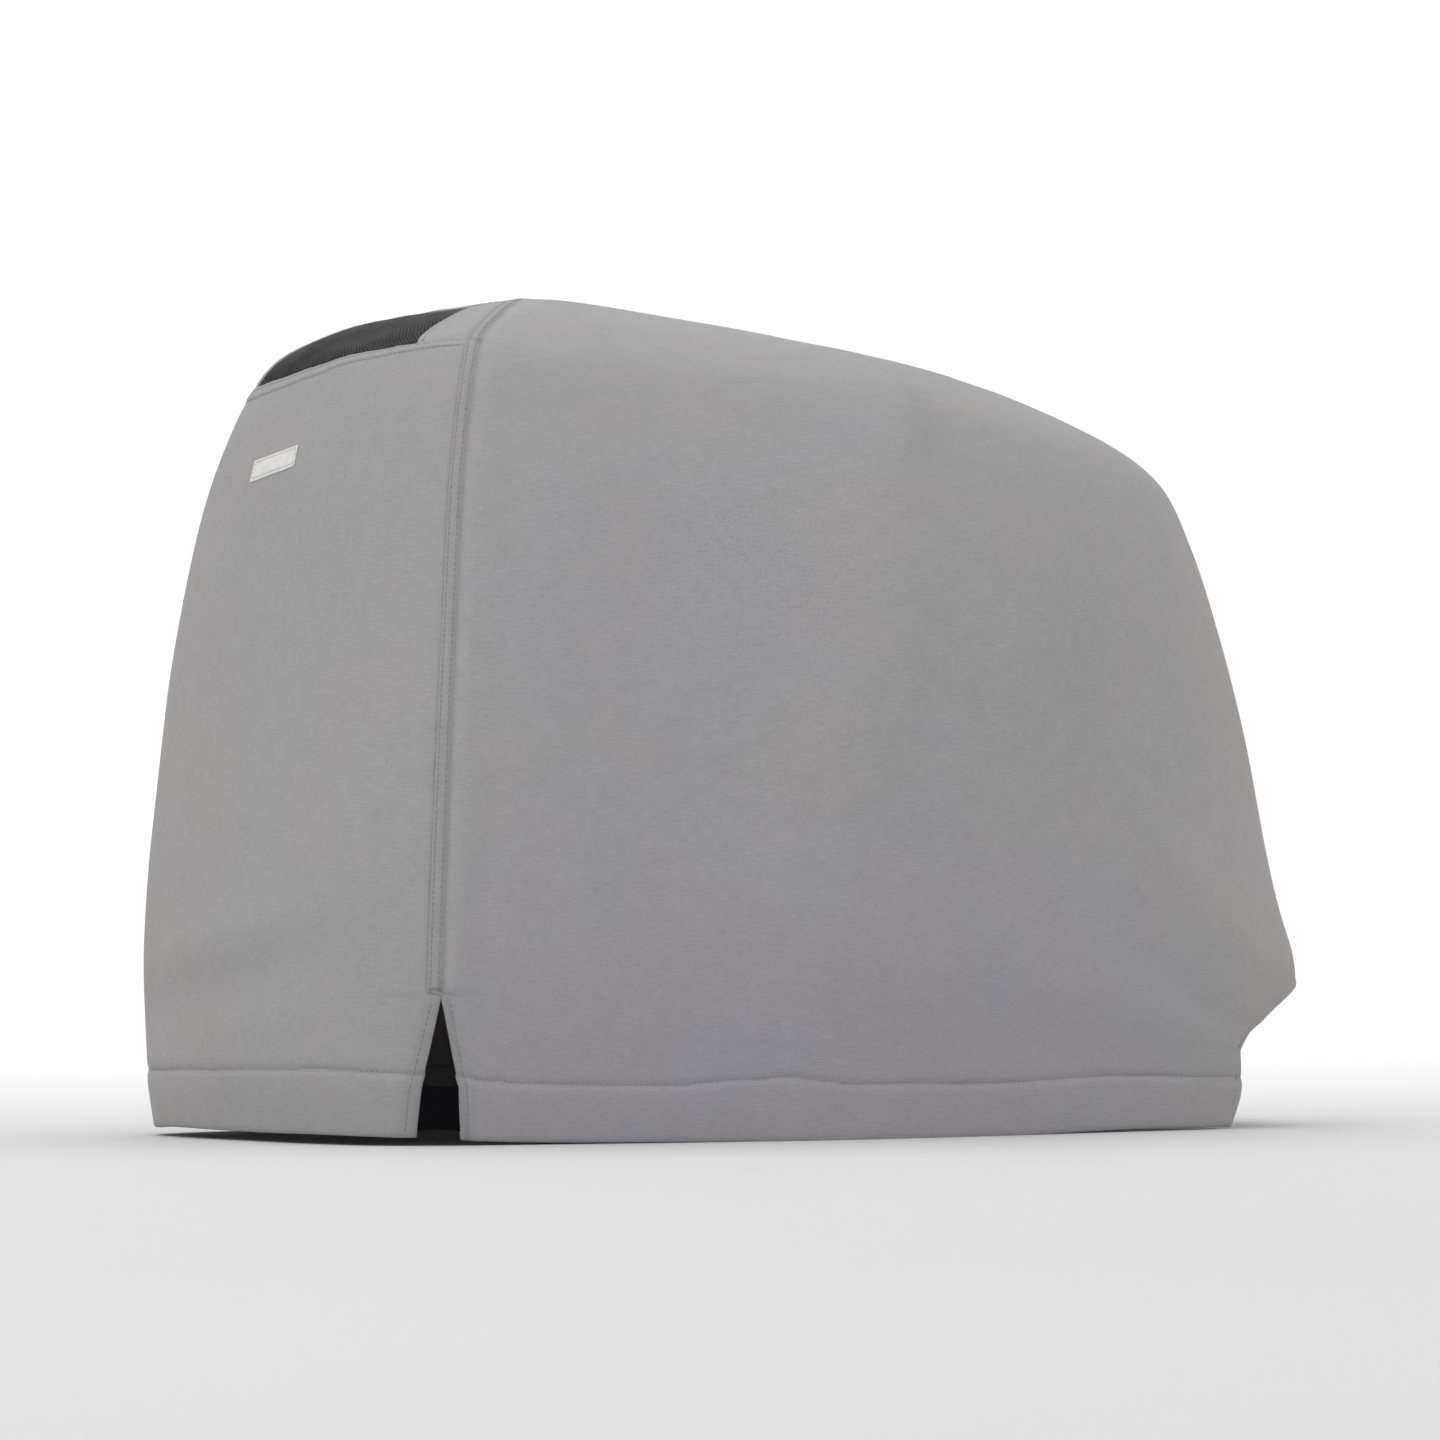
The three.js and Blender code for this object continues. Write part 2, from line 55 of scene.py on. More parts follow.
# ------------------------------------------------------------------ the same tables as the solids
STATIONS = np.array([  # u, wall x, wall y, crown x, crown y
    (0.0000, 0.000, 0.000, 0.000, 0.000), (0.0933, 0.408, 0.004, 0.350, 0.004),
    (0.1558, 0.672, 0.029, 0.569, 0.025), (0.1867, 0.781, 0.067, 0.689, 0.056),
    (0.2183, 0.804, 0.104, 0.783, 0.119), (0.3243, 0.895, 0.234, 0.916, 0.262),
    (0.4098, 0.957, 0.338, 0.980, 0.462), (0.4474, 0.984, 0.396, 0.995, 0.558),
    (0.4940, 0.975, 0.474, 0.965, 0.634), (0.6785, 0.826, 0.744, 0.792, 0.812),
    (0.8039, 0.700, 0.924, 0.591, 0.906), (0.8574, 0.574, 0.986, 0.438, 0.953),
    (0.9162, 0.352, 1.010, 0.244, 0.990), (1.0000, 0.000, 1.018, 0.000, 1.000)])
SECTIONS = np.array([  # t, half width, rear, front, z at the rear, z at the front, crown
    (0.00, 249, -5, 757, 0, 0, 0.00), (0.06, 255, -9, 758, 44, 44, 0.00),
    (0.17, 264, -9, 757, 129, 90, 0.05), (0.31, 266, 0, 738, 236, 192, 0.20),
    (0.45, 260, 15, 724, 358, 305, 0.42), (0.57, 238, 37, 703, 462, 407, 0.62),
    (0.66, 208, 62, 684, 521, 454, 0.75), (0.73, 184, 81, 638, 538, 482, 0.84),
    (0.80, 148, 117, 566, 554, 510, 0.92), (0.87, 104, 149, 482, 561, 531, 0.97),
    (0.94, 54, 179, 363, 566, 552, 1.00), (1.00, 0, 217, 217, 570, 570, 1.00)], float)
FOLDS = np.array([  # from u, t to u, t, half width, height
    (-0.110, 0.160, 0.080, 0.200, 20, 2.8), (-0.115, 0.112, 0.095, 0.160, 20, -3.6),
    (0.000, 0.650, 0.049, 0.555, 11, -1.3), (0.165, 0.420, 0.110, 0.350, 20, -1.2),
    (0.480, 0.770, 0.450, 0.610, 20, 2.4), (0.450, 0.600, 0.464, 0.470, 28, 2.0),
    (0.768, 0.120, 0.650, 0.240, 24, -2.8), (0.800, 0.200, 0.700, 0.320, 24, 2.2),
    (0.810, 0.205, 0.900, 0.220, 24, 2.6), (0.270, 0.210, 0.360, 0.260, 48, -2.0),
    (0.300, 0.400, 0.400, 0.440, 60, 1.6), (0.600, 0.400, 0.720, 0.460, 52, -2.0),
    (-0.300, 0.120, -0.480, 0.190, 34, -2.4), (-0.350, 0.330, -0.560, 0.400, 46, 2.0),
    (-0.768, 0.120, -0.650, 0.240, 26, -2.4)])
NOTCH = np.array([  # height, rear side, front side
    (0, 15.5, 16.5), (8, 15.0, 16.2), (38, 11.5, 16.0), (98, 0.15, 0.15)])
ARCH_LEG = np.array([(0.0000, 0.7690), (0.0262, 0.7755), (0.0800, 0.7750)])  # t, u
ARCH = np.array([(0.7750, 0.0800), (0.7825, 0.1030), (0.7965, 0.1250), (0.8170, 0.1510),
                 (0.8440, 0.1730), (0.9000, 0.1840), (1.0000, 0.1900)])  # u, t
HEM_EDGE = np.array([  # u, lift
    (-1.00, 1.5), (-0.77, 1.5), (-0.62, 0.6), (-0.45, 1.2), (-0.30, 1.0), (-0.19, 5.0), (-0.10, 8.0),
    (0.00, 7.4), (0.17, 6.4), (0.21, 4.2), (0.38, 1.4), (0.52, 0.4), (0.60, 1.0), (0.66, 2.6),
    (0.77, 2.8), (1.00, 2.8)])
VENT_SEAM = np.array([(-0.1867, 0.6430), (-0.1340, 0.6435), (-0.0740, 0.6490), (0.0210, 0.6710),
                      (0.1340, 0.6900), (0.1867, 0.7070)])  # u, t
MESH_SIDE = np.array([(0.6400, 0.1385), (0.6900, 0.1385), (0.7200, 0.1380), (0.7575, 0.1395), (0.7900, 0.1430),
                      (0.8100, 0.1445), (0.8300, 0.1435), (0.8500, 0.1400), (0.8700, 0.1330), (0.8900, 0.1200)])  # t, u
LABEL_U, LABEL_T, LABEL_WIDE, LABEL_TALL, LABEL_TILT = -0.0213, 0.561, 59.0, 14.0, 8.0
BAND_FROM_T, BAND_TO_T = 0.0070, 0.0500
HEM_LINE = np.array([  # u, height of the hem's stitching
    (-1.0, 40), (-0.62, 42), (-0.45, 40), (-0.30, 43), (-0.19, 44), (-0.09, 46), (0.03, 48), (0.14, 49.5),
    (0.18, 47), (0.22, 43), (0.41, 41.5), (0.43, 43), (0.465, 38), (0.515, 37), (0.58, 36), (0.65, 38.5),
    (0.77, 36), (1.0, 36)])


# ------------------------------------------------------------------ curves
def curve(k, v, first=None, last=None):
    """A smooth curve through values v at knots k."""
    h = np.diff(k)
    d = np.diff(v) / h
    m = np.zeros_like(v)
    m[1:-1] = (d[:-1] * h[1:] + d[1:] * h[:-1]) / (h[:-1] + h[1:])
    m[0], m[-1] = d[0], d[-1]
    if first is not None:
        m[0] = first
    if last is not None:
        m[-1] = last

    def f(x):
        x = np.asarray(x, float)
        i = np.clip(np.searchsorted(k, x, side="right") - 1, 0, len(k) - 2)
        w = h[i]
        s = (x - k[i]) / w
        return ((1 + 2 * s) * (1 - s) ** 2 * v[i] + s * (1 - s) ** 2 * w * m[i]
                + s * s * (3 - 2 * s) * v[i + 1] + s * s * (s - 1) * w * m[i + 1])
    return f


def line(k, v):
    return lambda x: np.interp(x, k, v)


def soften(f, reach=0.06):
    """f from 0 to 1, averaged over a short stretch of cloth, so that its bends have no corners."""
    x = np.linspace(0, 1, 2001)
    w = np.minimum(reach, np.minimum(x, 1 - x))
    s = np.linspace(-1, 1, 33)
    share = (1.001 - np.abs(s)) / np.sum(1.001 - np.abs(s))
    y = np.sum(f(x[:, None] + w[:, None] * s[None, :]) * share, 1)
    return lambda t: np.interp(t, x, y)


def smooth(x):
    x = np.clip(x, 0.0, 1.0)
    return x * x * (3 - 2 * x)


wall_x = curve(STATIONS[:, 0], STATIONS[:, 1])
wall_y = curve(STATIONS[:, 0], STATIONS[:, 2], 0, 0)
crown_x = curve(STATIONS[:, 0], STATIONS[:, 3])
crown_y = curve(STATIONS[:, 0], STATIONS[:, 4], 0, 0)
half = soften(curve(SECTIONS[:, 0], SECTIONS[:, 1]))
rear = soften(curve(SECTIONS[:, 0], SECTIONS[:, 2]))
front = soften(curve(SECTIONS[:, 0], SECTIONS[:, 3]))
z_rear = soften(curve(SECTIONS[:, 0], SECTIONS[:, 4], None, 0))
z_front = soften(curve(SECTIONS[:, 0], SECTIONS[:, 5], None, 0))
crown = soften(curve(SECTIONS[:, 0], SECTIONS[:, 6]))
hem_lift = curve(HEM_EDGE[:, 0], HEM_EDGE[:, 1])
vent_seam = curve(VENT_SEAM[:, 0], VENT_SEAM[:, 1])
mesh_side = line(MESH_SIDE[:, 0], MESH_SIDE[:, 1])
arch_edge = curve(ARCH[:, 0], ARCH[:, 1], None, 0)
arch_leg = curve(ARCH_LEG[:, 0], ARCH_LEG[:, 1])
notch_rear = line(NOTCH[:, 0], NOTCH[:, 1])
notch_front = line(NOTCH[:, 0], NOTCH[:, 2])
hem_line = curve(HEM_LINE[:, 0], HEM_LINE[:, 1])


def form(u, t):
    """The smooth form. Past u = 1 it goes on round the other side."""
    u = np.asarray(u, float)
    t = np.asarray(t, float)
    u = np.where(u > 1, u - 2, np.where(u < -1, u + 2, u))
    a = np.abs(u)
    side = np.where(u < 0, -1.0, 1.0)
    c = crown(t)
    x = wall_x(a) * (1 - c) + crown_x(a) * c
    y = wall_y(a) * (1 - c) + crown_y(a) * c
    return np.stack([side * half(t) * x, rear(t) + (front(t) - rear(t)) * y - CENTRE_Y,
                     z_rear(t) + (z_front(t) - z_rear(t)) * y + hem_lift(side * a) * np.maximum(0, 1 - t / 0.1)], -1)


def normal(u, t):
    e = 1e-3
    u = np.asarray(u, float)
    t = np.asarray(t, float)
    t0, t1 = np.maximum(t - e, 0), np.minimum(t + e, 0.9995)
    n = np.cross(form(u + e, t) - form(u - e, t), form(u, t1) - form(u, t0))
    return n / np.linalg.norm(n, axis=-1, keepdims=True)


def along_u(u, t):
    """Millimetres of cloth for one unit of u."""
    e = 1e-3
    return np.linalg.norm(form(u + e, t) - form(u - e, t), axis=-1) / (2 * e)


# ------------------------------------------------------------------ seeded noise on the cloth
_noise = {}


def noise(x, y, seed):
    """Smooth noise, about -1 to 1, one bump to a unit."""
    if seed not in _noise:
        _noise[seed] = np.random.default_rng(seed).uniform(-1, 1, (96, 96))
    g = _noise[seed]
    xi, yi = np.floor(x).astype(int), np.floor(y).astype(int)
    fx, fy = x - xi, y - yi
    fx = fx ** 3 * (fx * (6 * fx - 15) + 10)
    fy = fy ** 3 * (fy * (6 * fy - 15) + 10)
    a, b = g[xi % 96, yi % 96], g[(xi + 1) % 96, yi % 96]
    c, d = g[xi % 96, (yi + 1) % 96], g[(xi + 1) % 96, (yi + 1) % 96]
    return (a * (1 - fx) + b * fx) * (1 - fy) + (c * (1 - fx) + d * fx) * fy


# ------------------------------------------------------------------ heights over the smooth form
def taper(t):
    """Seams narrow as they run together on the crown."""
    return np.clip((1 - t) * RISE / 55.0, 0.06, 1.0)


def corner_s(u, t):
    """Distance from the corner seam over the cloth, positive on the side panel."""
    return (np.abs(u) - SEAM_U) * along_u(SEAM_U, t) / taper(t)


def centre_s(u, t):
    """Distance past the centre seam, measured from starboard."""
    v = np.where(u < 0, u + 2, u)
    return (v - 1) * along_u(0.99, t) / taper(t)


def folds(u, t):
    girth = GIRTH * np.maximum(half(t) / 266, 0.15)
    out = np.zeros(np.broadcast(u, t).shape)
    for u0, t0, u1, t1, wide, high in FOLDS:
        ax, ay = (u1 - u0) * girth, (t1 - t0) * RISE
        px, py = (u - u0) * girth, (t - t0) * RISE
        length = np.hypot(ax, ay)
        s = (px * ax + py * ay) / length ** 2
        across = np.abs(px * ay - py * ax) / length / wide
        past = np.maximum(0, np.maximum(-s, s - 1)) * length / (1.6 * wide)
        fade = 0.5 + 0.5 * np.minimum(1, 4 * np.minimum(np.maximum(s, 0), np.maximum(1 - s, 0)))
        out += high * fade * np.exp(-1.6 * (across ** 2 + past ** 2))
    return out


CREASE = (0.4790, 0.8100, 0.4460, 0.5900)  # from u, t to u, t: where the cloth breaks over the shoulder


def crease_place(u, t):
    """Distance in front of the crease, and how far it counts here."""
    girth = GIRTH * np.maximum(half(t) / 266, 0.15)
    u0, t0, u1, t1 = CREASE
    s = np.clip((t - t0) / (t1 - t0), -0.6, 1.6)
    across = (u - (u0 + (u1 - u0) * s)) * girth
    along = smooth((s + 0.25) / 0.3) * smooth((1.25 - s) / 0.5)
    return across, along


def crease(u, t):
    across, along = crease_place(u, t)
    ridge = np.where(across < 0, np.exp(-(across / 46.0) ** 2), np.exp(-np.maximum(across, 0) / 17.0))
    ridge = np.where(across > -3, ridge * (1 - 0.06 * np.exp(-(across / 3.0) ** 2)), ridge)
    return 2.1 * ridge * along


def unevenness(u, t):
    """What the folds in the table leave out: the soft waves of cloth that isn't pulled tight."""
    x = u * GIRTH * np.maximum(half(t) / 266, 0.2)
    y = t * RISE * 1.15
    calm = smooth((1 - t) / 0.12)
    out = 0.75 * noise(x / 120 + 3, y / 150, 11)
    out += 0.34 * noise((x + 0.6 * y) / 52, (y - 0.5 * x) / 84, 12)
    out += 0.15 * noise((x - 0.4 * y) / 27, (y + 0.3 * x) / 40, 13)
    out += 0.045 * noise(x / 11, y / 13, 14)
    sag = 1.9 * smooth((SEAM_U - np.abs(u)) / 0.06) * smooth((t - 0.80) / 0.07) * smooth((0.99 - t) / 0.05)
    return out * calm - sag


def puckers(s, along, seed, reach=13.0):
    """Short ripples that the stitches draw into the cloth beside a seam."""
    near = np.exp(-(s / reach) ** 2)
    return near * (0.26 * noise(along / 10.5, s / 26, seed) + 0.13 * noise(along / 5.2, s / 14, seed + 1))


def step_profile(knots):
    k = np.array(knots, float)
    return lambda x: np.interp(x, k[:, 0], k[:, 1])


LAP_TOP = step_profile([(-8.4, 0.05), (-7.9, 0.40), (-7.3, 0.46), (-6.7, 0.26), (-6.1, 0.48), (-5, 0.66), (-3.4, 0.70), (-2.3, 0.52),
                        (-1.6, 0.20), (-0.9, 0.26), (0, -0.15), (0.8, -0.60), (2, -0.45), (5, 0.35), (9, 0.90), (14, 0.95), (22, 0.5), (34, 0)])
UNDER_LAP = step_profile([(-44, 0), (-30, 0.30), (-22, 0.60), (-16, 0.65), (-12.5, 0.40), (-10.6, 0.05), (-9.2, -0.45), (-8.2, -0.85),
                          (-6.7, -1.15), (-2.3, -1.20), (-0.9, -1.40), (0.4, -2.0)])
HEM_STEP = step_profile([(-60, 0.85), (-40, 0.95), (-22, 1.25), (-11, 1.35), (-5, 1.20), (-2.6, 0.90), (-1.4, 0.30), (-0.6, -0.42), (0.4, -0.50),
                         (1.4, -0.10), (3.5, 0.20), (8, 0.30), (15, 0)])
TURNED = step_profile([(-1, 0.10), (0, 0.15), (1.2, 0.62), (3.2, 0.66), (4.2, 0.30), (4.9, -0.12), (5.6, 0.0), (7.5, 0.22), (12, 0.2), (20, 0)])
TOP_BAND = step_profile([(-1, 0.2), (0, 0.35), (0.7, 0.78), (1.4, 0.62), (2.0, 0.32), (2.7, 0.66), (4.6, 0.92), (6.6, 0.86), (7.6, 0.46), (8.3, 0.10),
                         (9.2, 0.02), (12, 0.25), (18, 0.2), (26, 0)])


def height_z(u, t):
    return form(u, t)[..., 2]


def base_height(u, t):
    """Folds, unevenness and the hem, which all the canvas shares."""
    v = np.where(u > 1, u - 2, u)
    z = height_z(u, t)
    x = v * GIRTH
    line_z = hem_line(v) + 0.5 * noise(x / 37, z * 0, 21) + 0.25 * noise(x / 14, z * 0, 22)
    d = z - line_z
    hem = HEM_STEP(d)
    ripple = np.exp(-(d / 17.0) ** 2) * (0.38 * noise(x / 16, (d + 0.4 * x) / 30, 23) + 0.16 * noise(x / 7.5, d / 16, 24))
    loose = smooth(-d / 30) * 0.55 * noise(x / 46, d / 60, 25)
    return folds(v, t) + crease(v, t) + unevenness(v, t) + hem + ripple + loose


def side_height(u, t):
    s, z = corner_s(u, t), height_z(u, t)
    k = taper(t)
    high = base_height(u, t)
    sewn = smooth((z - NOTCH_TOP + 1) / 2.0)
    open_s = (np.abs(np.where(u > 1, 2 - u, u)) - SEAM_U) * along_u(SEAM_U, t) - notch_front(z)
    seam = LAP_TOP(s) * np.sqrt(k)
    edge = TURNED(np.maximum(open_s, 0)) - 1.7 * (1 - smooth(open_s / 9.0)) * smooth((NOTCH_TOP - z) / 30)
    high = high + sewn * seam + (1 - sewn) * edge
    high = high + puckers(np.maximum(s, 0), z, 31) * smooth((1 - t) / 0.05)
    c = centre_s(u, t)
    centre = np.where(u >= 0, LAP_TOP(-c) * 0 + CENTRE_TOP(c), CENTRE_UNDER(c)) * np.sqrt(k)
    high = high + centre * smooth((t - 0.10) / 0.03)
    return high


CENTRE_TOP = step_profile([(-34, 0), (-22, 0.4), (-14, 0.7), (-9, 0.55), (-5, 0.1), (-2, -0.3), (-0.8, -0.25), (0, 0.2), (0.9, 0.52), (1.6, 0.36),
                           (2.3, 0.72), (3.4, 0.92), (5, 0.92), (6.1, 0.70), (6.7, 0.36), (7.3, 0.70), (7.9, 0.74), (8.4, 0.30)])
CENTRE_UNDER = step_profile([(0, -1.25), (8.7, -1.25), (9.6, -0.7), (10.6, -0.15), (12.5, 0.4), (16, 0.7), (24, 0.4), (38, 0)])


def arch_height(u, t):
    """The narrow turned edge of the arch and its leg."""
    a = np.abs(np.where(u > 1, 2 - u, u))
    up = (t - arch_edge(a)) * 600.0
    side = (arch_leg(np.minimum(t, HAUNCH_T)) - a) * along_u(0.77, t)
    e = np.where((t < HAUNCH_T) | (a < LEG_U), np.where(t < HAUNCH_T, side, np.hypot(np.maximum(side, 0), np.maximum(up, 0))), up)
    e = np.where((t >= HAUNCH_T) & (a < LEG_U), np.maximum(side, 0) + 0 * e, e)
    high = TURNED(np.maximum(e, 0))
    return np.where(a > 0.70, high, 0.0) * smooth((a - 0.70) / 0.03)


def rear_height(u, t):
    s, z = -corner_s(u, t), height_z(u, t)
    high = base_height(u, t)
    sewn = smooth((z - NOTCH_TOP + 1) / 2.0)
    open_s = (SEAM_U - np.abs(u)) * along_u(SEAM_U, t) - notch_rear(z)
    edge = TURNED(np.maximum(open_s, 0)) - 1.5 * (1 - smooth(open_s / 9.0)) * smooth((NOTCH_TOP - z) / 30)
    high = high + sewn * UNDER_LAP(-s) + (1 - sewn) * edge
    high = high + puckers(np.maximum(s - LAP, 0), z, 33)
    top = (vent_seam(u) - t) * 585.0
    return high + TOP_BAND(top) + puckers(np.maximum(top - 6, 0), u * GIRTH, 35, 9.0)


def surface(u, t, high):
    return form(u, t) + normal(u, t) * np.asarray(high)[..., None]


# ------------------------------------------------------------------ meshes
def closed_sheet(name, outer, inner, coords, shade, keep=None):
    """A closed sheet from two grids of points, with its edges rounded. keep says which cells are cloth."""
    rows, cols = outer.shape[:2]
    idx = np.arange(rows * cols).reshape(rows, cols)
    a, b, c, d = idx[:-1, :-1], idx[:-1, 1:], idx[1:, 1:], idx[1:, :-1]
    quads = np.stack([a, b, c, d], -1).reshape(-1, 4)
    if keep is not None:
        quads = quads[keep.reshape(-1)]
    n = rows * cols
    o, i = outer.reshape(-1, 3), inner.reshape(-1, 3)
    e = np.concatenate([quads[:, [k, (k + 1) % 4]] for k in range(4)])
    key = e[:, 0].astype(np.int64) * n + e[:, 1]
    back = e[:, 1].astype(np.int64) * n + e[:, 0]
    edge = e[~np.isin(key, back)]
    rim = np.unique(edge)
    where = np.full(n, -1)
    where[rim] = np.arange(len(rim))
    run = np.zeros((len(rim), 3))
    step = o[edge[:, 1]] - o[edge[:, 0]]
    step /= np.maximum(np.linalg.norm(step, axis=1, keepdims=True), 1e-9)
    np.add.at(run, where[edge[:, 0]], step)
    np.add.at(run, where[edge[:, 1]], step)
    thick = o[rim] - i[rim]
    width = np.linalg.norm(thick, axis=1, keepdims=True)
    out = np.cross(run, thick)
    out /= np.maximum(np.linalg.norm(out, axis=1, keepdims=True), 1e-9)
    rings = [0.5 * (o[rim] + i[rim]) + thick * f + out * width * g for f, g in ((0.30, 0.36), (0.0, 0.50), (-0.30, 0.36))]
    points = np.concatenate([o, i, *rings])
    base = 2 * n
    m = len(rim)
    strips = []
    at = [lambda v: v, *[(lambda v, k=k: base + k * m + where[v]) for k in range(3)], lambda v: v + n]
    for k in range(4):
        p, q = at[k], at[k + 1]
        strips.append(np.stack([p(edge[:, 1]), p(edge[:, 0]), q(edge[:, 0]), q(edge[:, 1])], -1))
    faces = np.concatenate([quads, quads[:, ::-1] + n, *strips])
    used = np.unique(faces)
    remap = np.full(len(points), -1)
    remap[used] = np.arange(len(used))
    cc = coords.reshape(-1, coords.shape[-1])
    ss = shade.reshape(-1)
    cc = np.concatenate([cc, cc, cc[rim], cc[rim], cc[rim]])[used]
    ss = np.concatenate([ss, ss, ss[rim], ss[rim], ss[rim]])[used]
    return add_mesh(name, points[used], remap[faces], cc, ss)


def add_mesh(name, points, faces, coords=None, shade=None, smooth_faces=True):
    me = bpy.data.meshes.new(name)
    faces = np.asarray(faces)
    me.vertices.add(len(points))
    me.vertices.foreach_set("co", (np.asarray(points) * MM).astype(np.float32).ravel())
    k = faces.shape[1]
    me.loops.add(faces.size)
    me.loops.foreach_set("vertex_index", faces.astype(np.int32).ravel())
    me.polygons.add(len(faces))
    me.polygons.foreach_set("loop_start", np.arange(0, faces.size, k, dtype=np.int32))
    me.polygons.foreach_set("use_smooth", np.full(len(faces), smooth_faces))
    me.update(calc_edges=True)
    me.validate()
    if coords is not None:
        layer = me.attributes.new("cloth", "FLOAT_VECTOR", "POINT")
        full = np.zeros((len(coords), 3), np.float32)
        full[:, :coords.shape[1]] = coords
        layer.data.foreach_set("vector", full.ravel())
    # the painted shade and highlights, stored as a factor on the colour
    if shade is not None:
        layer = me.attributes.new("shade", "FLOAT", "POINT")
        layer.data.foreach_set("value", shade.astype(np.float32))
    ob = bpy.data.objects.new(name, me)
    bpy.context.scene.collection.objects.link(ob)
    return ob


def spread(a, b, pitch):
    n = max(1, int(round(abs(b - a) / pitch)))
    return np.linspace(a, b, n + 1)


PITCH = 3.85
NEAR = [-8.4, -8.0, -7.3, -6.7, -6.1, -5.0, -3.6, -2.4, -1.6, -0.9, 0.0, 0.8, 1.8, 3.2, 5.0, 7.2, 9.8]


def side_panel(side):
    """A side panel, from its lap over the rear panel to the lap along the centre seam."""
    # rows, given in t
    hem_t = [0.0, 0.0022, 0.0055]
    t_mid = spread(0.0055, 0.046, PITCH / RISE)
    t_line = spread(0.046, 0.082, 1.7 / RISE)
    low_rows = np.unique(np.concatenate([hem_t, t_mid, t_line[t_line < HAUNCH_T - 0.0012], [HAUNCH_T]]))
    t_notch = 0.1290  # about NOTCH_TOP at the seam
    up = np.concatenate([spread(HAUNCH_T, t_notch, 2.6 / RISE), [t_notch + 0.0016, t_notch + 0.0032], spread(t_notch + 0.006, 0.9, PITCH / RISE),
                         spread(0.9, 0.985, PITCH / RISE), [0.989, 0.992, 0.9945, 0.9965, 0.998, 0.9990, 0.9996]])
    up = np.unique(np.round(up, 6))
    rows = np.concatenate([low_rows[:-1], up])
    first_up = len(low_rows) - 1
    # columns: millimetres from the corner seam, then shares of u, then millimetres from the centre seam
    lap = np.array(NEAR)
    body_a = spread(SEAM_U + 0.0125, LEG_U, PITCH / GIRTH)
    body_b = np.concatenate([spread(LEG_U, 0.80, 2.4 / GIRTH)[1:], spread(0.80, 0.986, PITCH / GIRTH)[1:]])
    centre = np.array([-9.8, -7.2, -5.0, -3.2, -1.8, -0.8, 0.0, 0.9, 1.6, 2.4, 3.6, 5.0, 6.1, 6.7, 7.3, 8.0, 8.4])
    if side < 0:
        centre = np.array([-9.8, -7.2, -5.0, -3.2, -1.8, -0.8, 0.0])
    cols = len(lap) + len(body_a) + len(body_b) + len(centre)
    leg = len(lap) + len(body_a) - 1
    T = np.repeat(rows[:, None], cols, 1)
    U = np.zeros_like(T)
    k_seam, k_centre, tp = along_u(SEAM_U, rows), along_u(0.99, rows), taper(rows)
    z_seam = height_z(SEAM_U + 0 * rows, rows)
    sewn = z_seam > NOTCH_TOP
    for j in range(len(rows)):
        if sewn[j]:
            u_lap = SEAM_U + lap * tp[j] / k_seam[j]
            shift = 0.0
        else:
            u_lap = SEAM_U + (lap - lap[0] + notch_front(z_seam[j])) / k_seam[j]
            shift = (8.4 + notch_front(z_seam[j])) / k_seam[j]
        last_lap = u_lap[-1]
        a = body_a.copy()
        # the columns next to the seam give way to it
        room = SEAM_U + 0.09
        near = a < room
        low_a = max(last_lap + 0.0022, 0)
        a[near] = low_a + (a[near] - body_a[0]) * (room - low_a) / (room - body_a[0])
        u_c = 1 + centre * tp[j] / k_centre[j]
        b = body_b.copy()
        far = b > 0.93
        high_b = u_c[0] - 0.003
        b[far] = 0.93 + (b[far] - 0.93) * (high_b - 0.93) / (body_b[-1] - 0.93)
        U[j] = np.concatenate([u_lap, a, b, u_c])
    # the arch: the rows above the haunch rise to its edge
    fade = 0.5
    aU = np.minimum(U, 1.0) if side > 0 else np.minimum(U, 1.0)
    aU = np.where(U > 1, 2 - U, U)
    raised = (np.arange(cols)[None, :] > leg) & (T >= HAUNCH_T) & (T < fade)
    T = np.where(raised, T + (arch_edge(aU) - HAUNCH_T) * ((fade - T) / (fade - HAUNCH_T)), T)
    below = T < HAUNCH_T
    lean = (arch_leg(np.minimum(T, HAUNCH_T)) - LEG_U) * np.clip(1 - (LEG_U - U) / 0.03, 0, 1)
    U = np.where(below, U + lean, U)
    keep = np.ones((len(rows) - 1, cols - 1), bool)
    keep[:first_up, leg:] = False
    sU = side * U
    if side < 0:
        sU = sU[:, ::-1]
        T = T[:, ::-1]
        keep = keep[:, ::-1]
    high = (side_height if side > 0 else port_height)(sU, T) + arch_height(sU, T)
    return grid_sheet(f"side_panel_{'starboard' if side > 0 else 'port'}_cloth", sU, T, high, keep, "side")


def port_height(u, t):
    """As side_height, for the port side, which goes under the centre lap."""
    s, z = corner_s(u, t), height_z(u, t)
    k = taper(t)
    sewn = smooth((z - NOTCH_TOP + 1) / 2.0)
    open_s = (np.abs(u) - SEAM_U) * along_u(SEAM_U, t) - notch_front(z)
    edge = TURNED(np.maximum(open_s, 0)) - 1.7 * (1 - smooth(open_s / 9.0)) * smooth((NOTCH_TOP - z) / 30)
    high = base_height(u, t) + sewn * LAP_TOP(s) * np.sqrt(k) + (1 - sewn) * edge
    high = high + puckers(np.maximum(s, 0), z, 37) * smooth((1 - t) / 0.05)
    c = (1 - np.abs(u)) * along_u(0.99, t) / k
    return high + CENTRE_UNDER(c) * np.sqrt(k) * smooth((t - 0.10) / 0.03)


